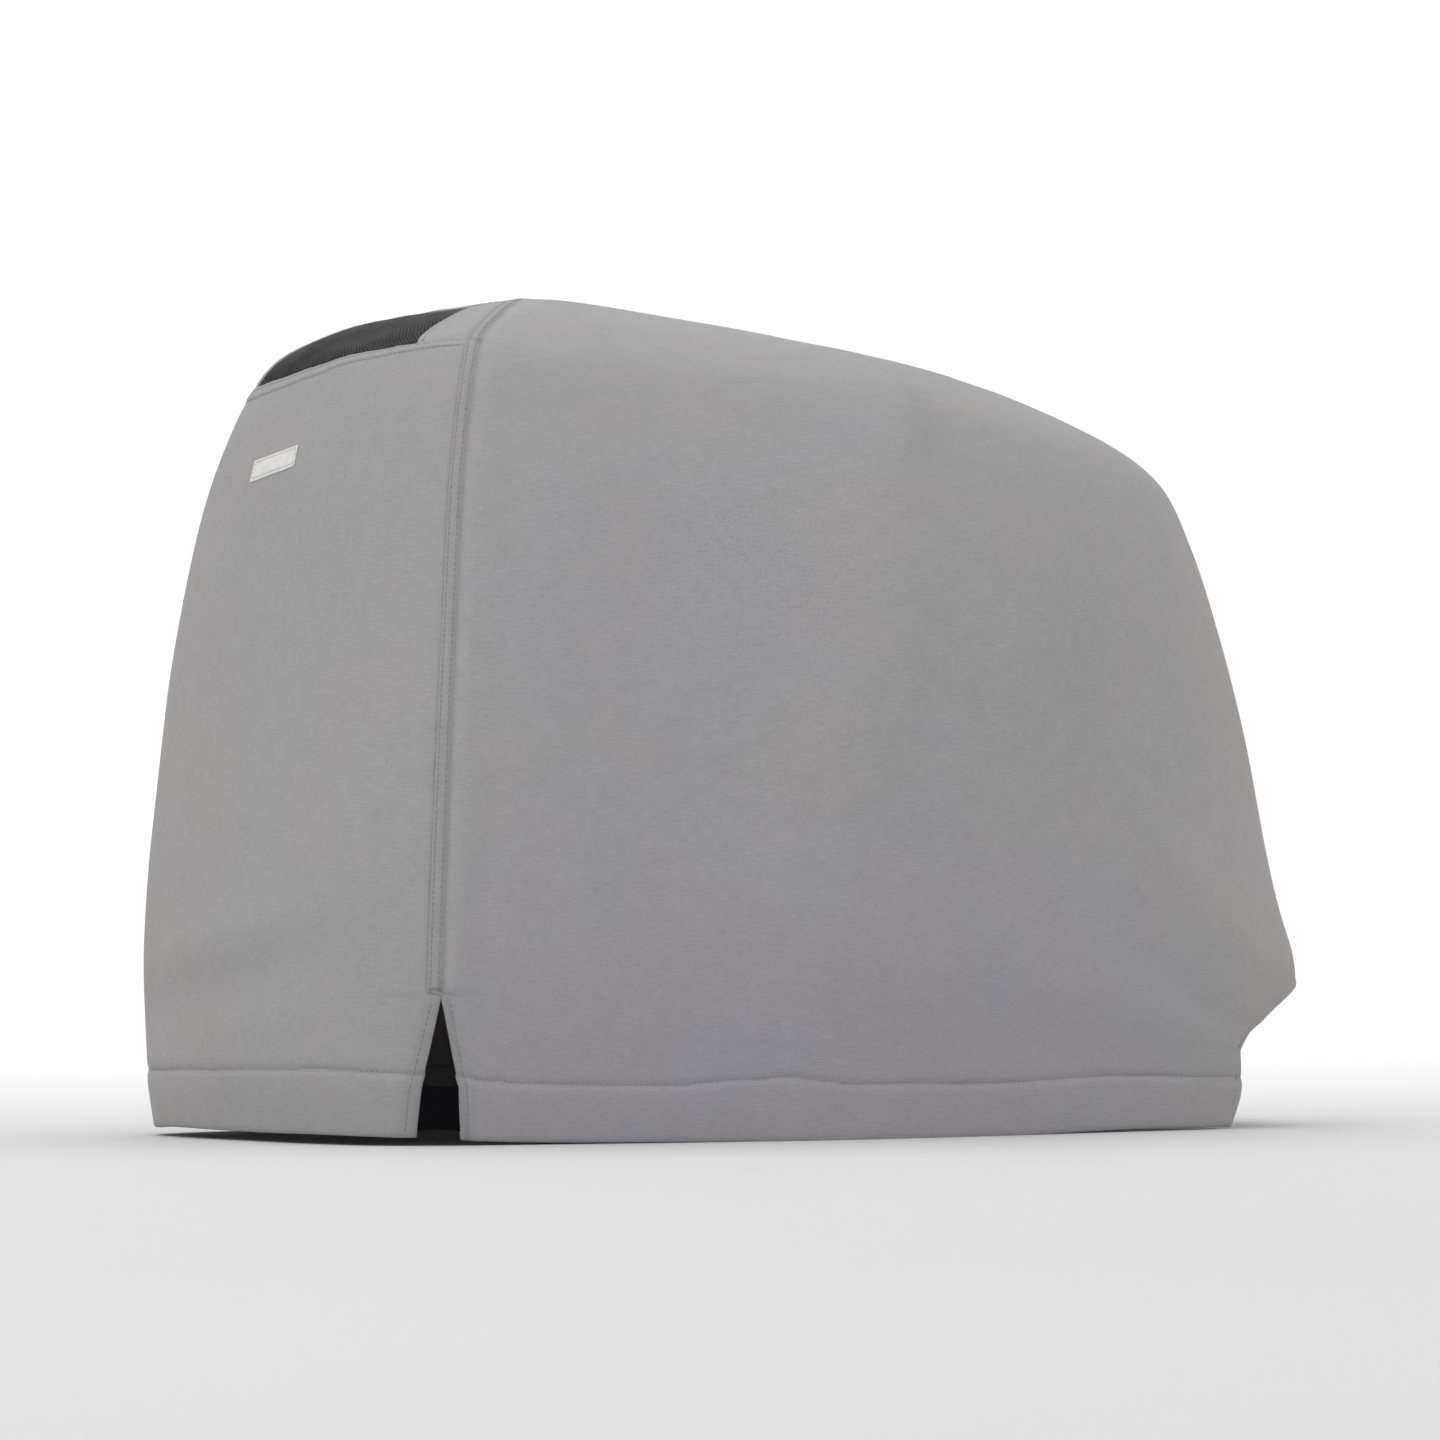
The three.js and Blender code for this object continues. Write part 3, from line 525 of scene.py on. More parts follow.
def thickness(u, t, lapped=True):
    """One layer, and two in the hem."""
    v = np.where(u > 1, u - 2, u)
    z = height_z(u, t)
    d = z - hem_line(v)
    pressed = 0.5 * smooth((-corner_s(v, t) - 4.6) / 3.4) * smooth((z - NOTCH_TOP + 1) / 2.0)
    return CLOTH + (HEM_THICK - CLOTH) * smooth((2.0 - d) / 3.0) - np.where(np.abs(v) < SEAM_U, pressed, 0) * lapped


def cloth_coords(u, t):
    v = np.where(u > 1, u - 2, u)
    return np.stack([v * GIRTH * (0.35 + 0.65 * half(t) / 266), t * RISE * 1.12, painted_reflection(v, t)], -1)


def painted_reflection(u, t):
    """A painted colour cast standing for light reflected from the surroundings: -1 where the cloth is painted cool, 1
    where it is painted warm.
    """
    cool = 0.9 * smooth((0.38 - t) / 0.24) * smooth((u - 0.17) / 0.08) * smooth((0.80 - u) / 0.20)
    cool = cool + 0.35 * np.exp(-((u - 0.34) / 0.14) ** 2 - ((t - 0.45) / 0.16) ** 2)
    warm = 0.9 * smooth((u - 0.72) / 0.14) * smooth((0.66 - t) / 0.22) + 0.45 * smooth((0.02 - u) / 0.14) * smooth((0.60 - t) / 0.3)
    return np.clip(warm - cool, -1, 1)


def shading(u, t):
    """Painted shade and highlights, kept in the cloth's colour: darker in the seams, with painted shadow at the lap's
    edge, where seams meet, beside the crease, on the V's edges, at the hem's stitching and low down along the bottom
    edge, and painted highlights beside the corner seam, the hem's stitching and the vent seam.
    """
    v = np.where(u > 1, u - 2, u)
    z = height_z(u, t)
    s = corner_s(v, t)
    painted_shading = np.zeros(np.broadcast(u, t).shape)
    sewn = smooth((z - NOTCH_TOP + 1) / 2)
    # a darker strip over the lap, painted shadow along the lap's edge and a painted highlight on the side panel just
    # past it
    strip = step_profile([(-10.5, 0), (-9.2, 0.30), (-8.4, 0.50), (-7.6, 0.32), (-6.7, 0.44), (-5.8, 0.38), (-3, 0.42), (-1.8, 0.60),
                          (-0.8, 1.0), (0.4, 1.2), (1.4, 0.9), (2.6, 0.1), (4.5, -0.22), (8, -0.22), (13, 0)])
    painted_shading += 0.13 * strip(s) * sewn
    # painted shadow where the seams meet: at the vent seam and over the top of the V
    crossing = np.exp(-((s + 0.5) / 2.6) ** 2 - ((t - 0.7045) * RISE / 3.4) ** 2)
    crossing = crossing + np.exp(-((s + 0.5) / 1.8) ** 2 - ((z - NOTCH_TOP - 3.5) / 3.0) ** 2)
    painted_shading += 0.30 * crossing
    # painted shade in front of the crease, where the cloth turns away from the light
    across, along = crease_place(v, t)
    painted_shading += 0.055 * smooth(across / 5.0) * np.exp(-np.maximum(across, 0) / 46.0) * along
    # painted shade on the V's turned edges
    gone = step_profile([(-2, 1), (3, 0.9), (6.5, 0.5), (12, 0)])
    nf = (np.abs(v) - SEAM_U) * along_u(SEAM_U, t)
    edge = np.where(nf > 0, nf - notch_front(z), -nf - notch_rear(z))
    painted_shading += 0.14 * gone(edge) * (1 - sewn)
    # painted shade in the groove of the hem's stitching, and a painted highlight just below it on the hem's proud edge
    line_z = hem_line(v) + 0.5 * noise(v * GIRTH / 37, z * 0, 21) + 0.25 * noise(v * GIRTH / 14, z * 0, 22)
    d = z - line_z
    painted_shading += 0.16 * np.exp(-((d - 0.2) / 1.5) ** 2) * (0.8 + 0.5 * noise(v * GIRTH / 21, z * 0, 41))
    painted_shading -= 0.035 * np.exp(-((d + 3.4) / 1.8) ** 2)
    # painted shadow along the bottom edge
    painted_shading += 0.10 * np.exp(-((z - hem_lift(v)) / 2.6) ** 2)
    c = np.abs(centre_s(v, t))
    painted_shading += 0.07 * np.exp(-((c - 3) / 5.0) ** 2) * smooth((t - 0.17) / 0.03)
    # painted shade at the vent seam's edge and at its lower stitching, and a painted highlight on the raised band
    # between them
    top = (vent_seam(np.clip(v, -SEAM_U, SEAM_U)) - t) * 585.0
    on = (np.abs(v) < SEAM_U)
    painted_shading += np.where(on, 0.10 * np.exp(-((top + 0.4) / 1.5) ** 2) + 0.06 * np.exp(-((top - 8.3) / 1.2) ** 2) - 0.05 * np.exp(-((top - 4.6) / 2.4) ** 2), 0)
    return 1 - np.clip(painted_shading, -0.1, 0.6)


def grid_sheet(name, U, T, high, keep, kind):
    thick = thickness(U, T, kind == "side")
    outer = surface(U, T, high)
    inner = surface(U, T, high - thick)
    return closed_sheet(name, outer, inner, cloth_coords(U, T), shading(U, T), keep)


def rear_panel():
    lap = np.array(NEAR)[:11]  # -8.4 to 0
    near = -np.array([-0.4, 0.9, 2.4, 4.4, 6.7, 7.6, 8.4, 9.6, 11.0, 12.6, 15.0, 18.0])  # inboard of the seam
    near = near[::-1]  # from the inside out: -18 to 0.4
    inside = spread(-(SEAM_U - 0.0225), SEAM_U - 0.0225, PITCH / GIRTH)
    t_line = spread(0.052, 0.088, 1.7 / RISE)
    t_notch = 0.1290
    rows = np.concatenate([[0.0, 0.0022, 0.0055], spread(0.0055, 0.052, PITCH / RISE), t_line, spread(0.088, t_notch, 2.6 / RISE),
                           [t_notch + 0.0016, t_notch + 0.0032]])
    low = np.unique(np.round(rows, 6))
    start = low[-1]
    shares = np.concatenate([spread(0, 0.93, PITCH / 365.0), 1 - np.array([23, 20, 17, 14.6, 12.4, 10.6, 9.2, 8.3, 7.6, 6.6, 5.6, 4.6, 3.5, 2.7, 2.0, 1.4, 0.7, 0.0]) / 330.0])
    shares = np.unique(np.round(shares, 6))
    rows_n = len(low) + len(shares) - 1
    cols = 2 * len(near) + len(inside)
    U = np.zeros((rows_n, cols))
    T = np.zeros((rows_n, cols))
    for j in range(rows_n):
        if j < len(low):
            t_edge = low[j]
            t_row = None
        else:
            t_row = shares[j - len(low) + 1]
        us = []
        for side in (-1, 1):
            if t_row is None:
                t = low[j]
            else:
                t = start + (vent_seam(side * SEAM_U) - start) * t_row
            k = along_u(SEAM_U, t)
            z = float(height_z(np.array(SEAM_U * side), np.array(t)))
            if z > NOTCH_TOP:
                off = near / k
            else:
                off = (near - near[-1] - notch_rear(z)) / k
            us.append((SEAM_U + off, SEAM_U + off[0]))
        left, right = us
        edge_l, edge_r = -left[1] + 0.003, right[1] - 0.003
        mid = inside / inside[-1]
        mid = np.where(mid < 0, -mid * edge_l, mid * edge_r)
        U[j] = np.concatenate([-left[0][::-1], mid, right[0]])
        if t_row is None:
            T[j] = low[j]
        else:
            T[j] = start + (vent_seam(np.clip(U[j], -SEAM_U, SEAM_U)) + 1.0 / 585 - start) * t_row
    high = rear_height(U, T)
    return grid_sheet("rear_panel_cloth", U, T, high, None, "rear")


# ------------------------------------------------------------------ the vent
def mesh_place(a, b):
    """a from -1 at port to 1 at starboard, b from 0 at its foot to 1 at its top."""
    side = np.where(a < 0, -1.0, 1.0)
    low = vent_seam(side * MESH_FOOT_U)
    u = a * mesh_side(low + (MESH_TOP_T - low) * b)
    return u, vent_seam(u) + (MESH_TOP_T - vent_seam(u)) * b


def vent_surround():
    """The cloth round the mesh: up the starboard side, across the top and down the port side."""
    def half_strip(side):
        ks = np.concatenate([spread(0, 1, 0.035)[:-1], spread(1, 2, 0.06)])
        inner_uv, outer_uv = [], []
        for k in ks:
            b = min(k, 1.0)
            a = 1.0 if k <= 1 else max(0.0, 2.0 - k)
            iu, it = mesh_place(np.array(side * a), np.array(b))
            if k <= 1:
                ot = vent_seam(side * SEAM_U) + (0.87 - vent_seam(side * SEAM_U)) * k
            else:
                ot = 0.87 + (0.9985 - 0.87) * (k - 1)
            inner_uv.append((float(iu), float(it)))
            outer_uv.append((side * SEAM_U, float(ot)))
        return np.array(inner_uv), np.array(outer_uv)
    i1, o1 = half_strip(1)
    i2, o2 = half_strip(-1)
    inn = np.concatenate([i1, i2[::-1][1:]])
    out = np.concatenate([o1, [[0, 0.9990]], o2[::-1][1:]])
    out = out[:len(inn)] if len(out) == len(inn) else np.concatenate([o1[:-1], [[0, 0.9990]], o2[::-1][1:]])
    w = np.array([-0.05, 0.0, 0.02, 0.045, 0.07, 0.10, 0.14, 0.19, 0.26, 0.34, 0.42, 0.5, 0.58, 0.66, 0.74, 0.82, 0.89, 0.95, 1.0])
    U = inn[:, None, 0] + (out - inn)[:, None, 0] * w[None, :]
    T = inn[:, None, 1] + (out - inn)[:, None, 1] * w[None, :]
    gap = np.linalg.norm(form(out[:, 0], out[:, 1]) - form(inn[:, 0], inn[:, 1]), axis=-1)
    e = w[None, :] * gap[:, None]
    e = np.clip(e, -2, None)
    s = corner_s(U, T)
    seam = UNDER_LAP(s) * np.sqrt(taper(T))
    roll = step_profile([(-2, 0.15), (0, 0.35), (0.9, 0.75), (1.9, 0.66), (2.7, 0.30), (3.6, 0.40), (6, 0.45), (9, 0.35), (14, 0.1)])(e)
    foot = step_profile([(-0.5, -0.7), (3, -0.6), (6, -0.1), (12, 0.1), (20, 0)])((T - vent_seam(np.clip(U, -SEAM_U, SEAM_U))) * 585.0)
    high = unevenness(U, T) + roll + seam + foot
    thick = np.full(U.shape, CLOTH)
    outer = surface(U, T, high)
    inner = surface(U, T, high - thick)
    return closed_sheet("vent_surround_cloth", outer, inner, cloth_coords(U, T), shading(U, T))


def mesh_height(u, t):
    top = (t - vent_seam(np.clip(u, -SEAM_U, SEAM_U))) * 585.0
    return unevenness(u, t) - 0.75 + 0.5 * noise(u * GIRTH / 60, t * RISE / 40, 51) - 0.35 * np.exp(-(top / 5) ** 2)


def vent_mesh():
    """An open mesh, woven of flat coated yarns that pass over and under each other."""
    pitch = 2.1
    wide, thick = 0.46, 0.26  # half sizes of a yarn
    low = 0.5 * (vent_seam(MESH_FOOT_U) + vent_seam(-MESH_FOOT_U))
    across = float(np.linalg.norm(form(np.array(MESH_FOOT_U), np.array(low)) - form(np.array(-MESH_FOOT_U), np.array(low)))) * 1.02
    tall = float(np.linalg.norm(form(np.array(0.0), np.array(MESH_TOP_T)) - form(np.array(0.0), np.array(vent_seam(0.0)))))
    na, nb = int(round(across / pitch)), int(round(tall / pitch))
    step = 1
    points, faces, coords = [], [], []
    count = 0

    def yarn(a, b, flip, way):
        nonlocal count
        stray = 0.9 / na * noise(a * 7 + 40, b * 6, 52)
        u, t = mesh_place(a + stray, b + 0.6 / nb * noise(a * 6, b * 7 + 20, 53))
        n = normal(u, t)
        p = form(u, t) + n * mesh_height(u, t)[..., None]
        run = np.gradient(p, axis=0)
        run /= np.linalg.norm(run, axis=1, keepdims=True)
        side = np.cross(n, run)
        wave = 0.24 * np.cos(np.arange(len(a)) * math.pi / 2 * way + flip * math.pi)
        p = p + n * wave[:, None]
        ring = [p + side * wide * x + n * thick * y for x, y in ((1, 0), (0, 1), (-1, 0), (0, -1))]
        pts = np.stack(ring, 1).reshape(-1, 3)
        m = len(a)
        base = count + 4 * np.arange(m - 1)[:, None]
        f = np.concatenate([np.stack([base[:, 0] + k, base[:, 0] + (k + 1) % 4, base[:, 0] + 4 + (k + 1) % 4, base[:, 0] + 4 + k], -1) for k in range(4)])
        points.append(pts)
        faces.append(f)
        faces.append(np.array([[count + 3, count + 2, count + 1, count], [count + 4 * m - 4, count + 4 * m - 3, count + 4 * m - 2, count + 4 * m - 1]]))
        c = np.stack([u * GIRTH, t * RISE * 1.12], -1)
        coords.append(np.repeat(c, 4, 0))
        count += 4 * m

    for i in range(0, na + 1, step):
        m = 2 * nb + 1
        b = np.linspace(-0.035, 1.035, m)
        yarn(np.full(m, -1 + 2 * i / na), b, i % 2, 1)
    for j in range(0, nb + 1, step):
        m = 2 * na + 1
        a = np.linspace(-1.03, 1.03, m)
        yarn(a, np.full(m, j / nb), (j + 1) % 2, 1)
    pts = np.concatenate(points)
    return add_mesh("vent_mesh_weave", pts, np.concatenate(faces), np.concatenate(coords), np.ones(len(pts)))


# ------------------------------------------------------------------ small pieces
def elastic_band(side):
    """A ribbed band, pulled a little narrower in the middle, whose ends run on inside the hem."""
    cols = np.concatenate([[-6.0, -3.0], np.linspace(0, 1, 34) * 1000 + 1000])
    a = np.linspace(-0.22, 1.22, 61)
    b = np.linspace(0, 1, 41)
    A, B = np.meshgrid(a, b)
    t_mid = BAND_FROM_T + (BAND_TO_T - BAND_FROM_T) * B
    pull = 1 - 0.07 * np.sin(math.pi * np.clip(A, 0, 1))
    t = 0.5 * (BAND_FROM_T + BAND_TO_T) + (t_mid - 0.5 * (BAND_FROM_T + BAND_TO_T)) * pull
    z = z_rear(t)
    k = along_u(SEAM_U, t)
    u0, u1 = SEAM_U - notch_rear(z) / k, SEAM_U + notch_front(z) / k
    U = u0 + (u1 - u0) * A
    ribs = 0.16 * np.cos(B * 2 * math.pi * 10) + 0.05 * noise(A * 40, B * 60, 61)
    fold = -0.5 * np.exp(-((A - 0.06) / 0.09) ** 2) - 0.5 * np.exp(-((A - 0.94) / 0.09) ** 2) + 0.35 * np.sin(math.pi * np.clip(A, 0, 1))
    high = -0.95 + ribs + fold
    if side < 0:
        U, t, high, A, B = -U[:, ::-1], t[:, ::-1], high[:, ::-1], A, B
    U = U * 1.0
    outer = surface(U, t, high)
    inner = surface(U, t, high - 1.5)
    return closed_sheet(f"elastic_{'starboard' if side > 0 else 'port'}_band", outer, inner,
                        np.stack([A * 30, B * 30], -1), np.ones(A.shape))


def sewn_label():
    wide, tall = LABEL_WIDE, LABEL_TALL
    x = np.linspace(-0.5, 0.5, 75) * wide
    y = np.linspace(-0.5, 0.5, 29) * tall
    X, Y = np.meshgrid(x, y)
    tilt = math.radians(LABEL_TILT)
    k = float(along_u(np.array(LABEL_U), np.array(LABEL_T)))
    U = LABEL_U + (X * math.cos(tilt) - Y * math.sin(tilt)) / k
    T = LABEL_T + (X * math.sin(tilt) + Y * math.cos(tilt)) / 780
    ex = np.minimum(wide / 2 - np.abs(X), tall / 2 - np.abs(Y))
    sewn = -0.28 * np.exp(-((ex - 1.7) / 0.55) ** 2)
    puff = 0.30 * smooth(ex / 4.5) + 0.12 * noise(X / 9, Y / 7, 71)
    high = rear_height(U, T) + 0.75 + sewn + puff
    outer = surface(U, T, high)
    inner = surface(U, T, rear_height(U, T) + 0.05)
    return closed_sheet("label_tape", outer, inner, np.stack([X, Y], -1), np.ones(X.shape))


# ------------------------------------------------------------------ stitches
def capsule(rings=3, sides=6):
    """A stitch one unit long: it rises out of one hole and goes down the next."""
    xs = np.linspace(-1, 1, rings + 2)[1:-1]
    prof = np.sqrt(np.clip(1 - (np.abs(xs) * 0.86) ** 2.6, 0.1, 1))
    v = [(-0.5, 0, 0)]
    for x, r in zip(xs, prof):
        for k in range(sides):
            a = 2 * math.pi * k / sides
            v.append((x * 0.5, r * math.cos(a), r * math.sin(a)))
    v.append((0.5, 0, 0))
    f = []
    for k in range(sides):
        f.append((0, 1 + (k + 1) % sides, 1 + k))
        for i in range(len(xs) - 1):
            p, q = 1 + i * sides, 1 + (i + 1) * sides
            f.append((p + k, p + (k + 1) % sides, q + (k + 1) % sides))
            f.append((p + k, q + (k + 1) % sides, q + k))
        last = 1 + (len(xs) - 1) * sides
        f.append((len(v) - 1, last + k, last + (k + 1) % sides))
    return np.array(v, float), np.array(f)


CAP_V, CAP_F = capsule()


def stitches(name, rows, pitch=STITCH, radius=THREAD, seed=5):
    """rows is a list of (u, t, height function) lines. One stitch lies along each pitch."""
    rng = np.random.default_rng(seed)
    all_v, all_f, count = [], [], 0
    for u, t, high in rows:
        p = form(u, t)
        d = np.concatenate([[0], np.cumsum(np.linalg.norm(np.diff(p, axis=0), axis=1))])
        n = int(d[-1] / pitch)
        if n < 1:
            continue
        at = (np.arange(n) + 0.5) * d[-1] / n
        uu, tt = np.interp(at, d, u), np.interp(at, d, t)
        un, tn = np.interp(at + 0.4, d, u), np.interp(at + 0.4, d, t)
        up, tp = np.interp(at - 0.4, d, u), np.interp(at - 0.4, d, t)
        nn = normal(uu, tt)
        c = form(uu, tt) + nn * (high(uu, tt) + 0.10)[:, None]
        run = form(un, tn) - form(up, tp)
        run /= np.linalg.norm(run, axis=1, keepdims=True)
        side = np.cross(nn, run)
        tip = rng.normal(0, 0.05, n)
        run = run + side * tip[:, None]
        length = (pitch - 0.75) * (1 + rng.normal(0, 0.04, n))
        r = radius * (1 + rng.normal(0, 0.05, n))
        v = (c[:, None] + run[:, None] * (CAP_V[None, :, 0] * length[:, None])[..., None]
             + side[:, None] * (CAP_V[None, :, 1] * r[:, None])[..., None]
             + nn[:, None] * (CAP_V[None, :, 2] * r[:, None] * 0.8)[..., None])
        all_v.append(v.reshape(-1, 3))
        m = len(CAP_V)
        all_f.append((CAP_F[None] + (count + np.arange(n) * m)[:, None, None]).reshape(-1, 3))
        count += n * m
    pts = np.concatenate(all_v)
    return add_mesh(name, pts, np.concatenate(all_f), np.zeros((len(pts), 2)), np.ones(len(pts)))




def seam_line(side, s, t0, t1):
    t = np.linspace(t0, t1, 240)
    tp = taper(t)
    return side * (SEAM_U + s * tp / along_u(SEAM_U, t)), t


def hem_stitch(u0, u1):
    """The place of the hem's stitching, as it wanders."""
    u = np.linspace(u0, u1, 500)
    t = np.full(500, 0.06)
    for _ in range(6):
        z = height_z(u, t)
        target = hem_line(u) + 0.5 * noise(u * GIRTH / 37, u * 0, 21) + 0.25 * noise(u * GIRTH / 14, u * 0, 22)
        t = t + (target - z) / 720.0
    return u, t


def build_stitches():
    pieces = []
    side_fn = {1: side_height, -1: port_height}
    for side in (1, -1):
        rows = []
        for s in (-6.7, -1.6):
            u, t = seam_line(side, s, 0.1335, 0.975)
            rows.append((u, t, side_fn[side]))
        # the turned edges of the V
        t = np.linspace(0.004, 0.126, 120)
        z = height_z(side * SEAM_U + 0 * t, t)
        k = along_u(SEAM_U, t)
        rows.append((side * (SEAM_U + (notch_front(z) + 4.9) / k), t, side_fn[side]))
        rows.append((side * (SEAM_U - (notch_rear(z) + 4.9) / k), t, rear_height))
        pieces.append(("corner_stitches_" + ("starboard" if side > 0 else "port"), rows))
        rows = []
        k = float(along_u(np.array(SEAM_U), np.array(0.06)))
        u, t = hem_stitch(SEAM_U + 22.0 / k, 0.7735)
        if side < 0:
            u, t = hem_stitch(-(SEAM_U + 22.0 / k), -0.7735)
        rows.append((u, t, lambda a, b, f=side_fn[side]: f(a, b) + arch_height(a, b)))
        # the arch
        tl = np.linspace(0.004, HAUNCH_T, 40)
        ul = arch_leg(tl) - 4.9 / along_u(0.77, tl)
        ua = np.linspace(LEG_U, 0.995, 160)
        ta = arch_edge(ua) + 4.9 / 600.0
        keep_a = ua > LEG_U + 0.002
        rows.append((side * np.concatenate([ul, ua[keep_a]]), np.concatenate([tl, ta[keep_a]]), lambda a, b, f=side_fn[side]: f(a, b) + arch_height(a, b)))
        pieces.append(("hem_stitches_" + ("starboard" if side > 0 else "port"), rows))
    rows = []
    for c in (1.6, 6.7):
        t = np.linspace(0.205, 0.972, 320)
        rows.append((1 + c * taper(t) / along_u(0.99, t), t, side_height))
    pieces.append(("centre_stitches", rows))
    rows = []
    k = float(along_u(np.array(SEAM_U), np.array(0.06)))
    u, t = hem_stitch(-(SEAM_U - 17.0 / k), SEAM_U - 17.0 / k)
    rows.append((u, t, rear_height))
    for off in (2.0, 8.3):
        u = np.linspace(-SEAM_U + 0.012, SEAM_U - 0.012, 240)
        rows.append((u, vent_seam(u) - off / 585.0, rear_height))
    pieces.append(("rear_stitches", rows))
    return [stitches(name, rows, seed=80 + i) for i, (name, rows) in enumerate(pieces)]


def surround_stitches():
    def high(u, t):
        return unevenness(u, t) + 0.30
    rows = []
    for side in (1, -1):
        b = np.linspace(0.03, 1.0, 60)
        u, t = mesh_place(np.full(60, float(side)), b)
        rows.append((u + side * 2.7 / along_u(0.14, t), t, high))
    a = np.linspace(-1, 1, 120)
    u, t = mesh_place(a, np.full(120, 1.0))
    rows.append((u, t + 2.7 / 585.0, high))
    return stitches("vent_stitches", rows, seed=95)


def tacks(side):
    """Close zigzag stitching: a bar across the seam over the V."""
    fn = side_height if side > 0 else port_height
    rows = []
    t = 0.1375
    k = float(along_u(np.array(SEAM_U), np.array(t)))
    n = 9
    for i in range(n):
        s0 = -7.4 + 6.6 * i / (n - 1)
        uu = side * (SEAM_U + np.array([s0, s0 + 0.4]) / k)
        tt = np.array([t - 1.1 / RISE, t + 1.1 / RISE])
        rows.append((uu, tt, lambda a, b: fn(a, b) + 0.15))
    return stitches("tack_" + ("starboard" if side > 0 else "port"), rows, pitch=2.2, radius=0.36, seed=60 + side)


def label_stitches():
    wide, tall = LABEL_WIDE / 2 - 1.7, LABEL_TALL / 2 - 1.7
    tilt = math.radians(LABEL_TILT)
    k = float(along_u(np.array(LABEL_U), np.array(LABEL_T)))
    rows = []
    for (x0, y0), (x1, y1) in (((-wide, -tall), (wide, -tall)), ((wide, -tall), (wide, tall)), ((wide, tall), (-wide, tall)), ((-wide, tall), (-wide, -tall))):
        X, Y = np.linspace(x0, x1, 30), np.linspace(y0, y1, 30)
        rows.append((LABEL_U + (X * math.cos(tilt) - Y * math.sin(tilt)) / k, LABEL_T + (X * math.sin(tilt) + Y * math.cos(tilt)) / 780,
                     lambda u, t: rear_height(u, t) + 0.82))
    return stitches("label_stitches", rows, pitch=2.4, radius=0.24, seed=97)


# ------------------------------------------------------------------ materials
class Nodes:
    """A small helper to wire nodes."""

    def __init__(self, name):
        self.m = bpy.data.materials.new(name)
        self.m.use_nodes = True
        self.t = self.m.node_tree
        self.t.nodes.clear()
        self.out = self.t.nodes.new("ShaderNodeOutputMaterial")
        self.bsdf = self.t.nodes.new("ShaderNodeBsdfPrincipled")
        self.t.links.new(self.bsdf.outputs[0], self.out.inputs[0])

    def put(self, socket, value):
        if hasattr(value, "is_linked") or isinstance(value, bpy.types.NodeSocket):
            self.t.links.new(value, socket)
        else:
            socket.default_value = value

    def attribute(self, name, output="Vector"):
        n = self.t.nodes.new("ShaderNodeAttribute")
        n.attribute_name = name
        return n.outputs[output]

    def scale(self, vector, scale, rotate=0.0):
        n = self.t.nodes.new("ShaderNodeMapping")
        n.inputs["Scale"].default_value = scale
        n.inputs["Rotation"].default_value = (0, 0, rotate)
        self.t.links.new(vector, n.inputs["Vector"])
        return n.outputs[0]

    def noise(self, vector, scale=1.0, detail=2.0, rough=0.5, distort=0.0):
        n = self.t.nodes.new("ShaderNodeTexNoise")
        self.t.links.new(vector, n.inputs["Vector"])
        n.inputs["Scale"].default_value = scale
        n.inputs["Detail"].default_value = detail
        n.inputs["Roughness"].default_value = rough
        n.inputs["Distortion"].default_value = distort
        return n.outputs["Fac"]

    def math(self, op, a, b=0.0, c=None, clamp=False):
        n = self.t.nodes.new("ShaderNodeMath")
        n.operation = op
        n.use_clamp = clamp
        self.put(n.inputs[0], a)
        self.put(n.inputs[1], b)
        if c is not None:
            self.put(n.inputs[2], c)
        return n.outputs[0]

    def ramp(self, fac, stops):
        n = self.t.nodes.new("ShaderNodeValToRGB")
        e = n.color_ramp.elements
        while len(e) < len(stops):
            e.new(0.5)
        for el, (pos, col) in zip(e, stops):
            el.position = pos
            el.color = (*col, 1)
        self.t.links.new(fac, n.inputs[0])
        return n.outputs[0]

    def mix(self, fac, a, b, kind="MIX"):
        n = self.t.nodes.new("ShaderNodeMix")
        n.data_type = "RGBA"
        n.blend_type = kind
        self.put(n.inputs[0], fac)
        for sock, v in ((n.inputs[6], a), (n.inputs[7], b)):
            if isinstance(v, tuple):
                sock.default_value = (*v, 1) if len(v) == 3 else v
            else:
                self.t.links.new(v, sock)
        return n.outputs[2]

    def grey(self, value):
        n = self.t.nodes.new("ShaderNodeCombineColor")
        for i in range(3):
            self.put(n.inputs[i], value)
        return n.outputs[0]

    def bump(self, height, distance, strength=1.0, base=None):
        n = self.t.nodes.new("ShaderNodeBump")
        n.inputs["Distance"].default_value = distance
        n.inputs["Strength"].default_value = strength
        self.t.links.new(height, n.inputs["Height"])
        if base is not None:
            self.t.links.new(base, n.inputs["Normal"])
        return n.outputs[0]


CANVAS = (0.352 * 1.055, 0.347 * 1.055, 0.348 * 1.055)


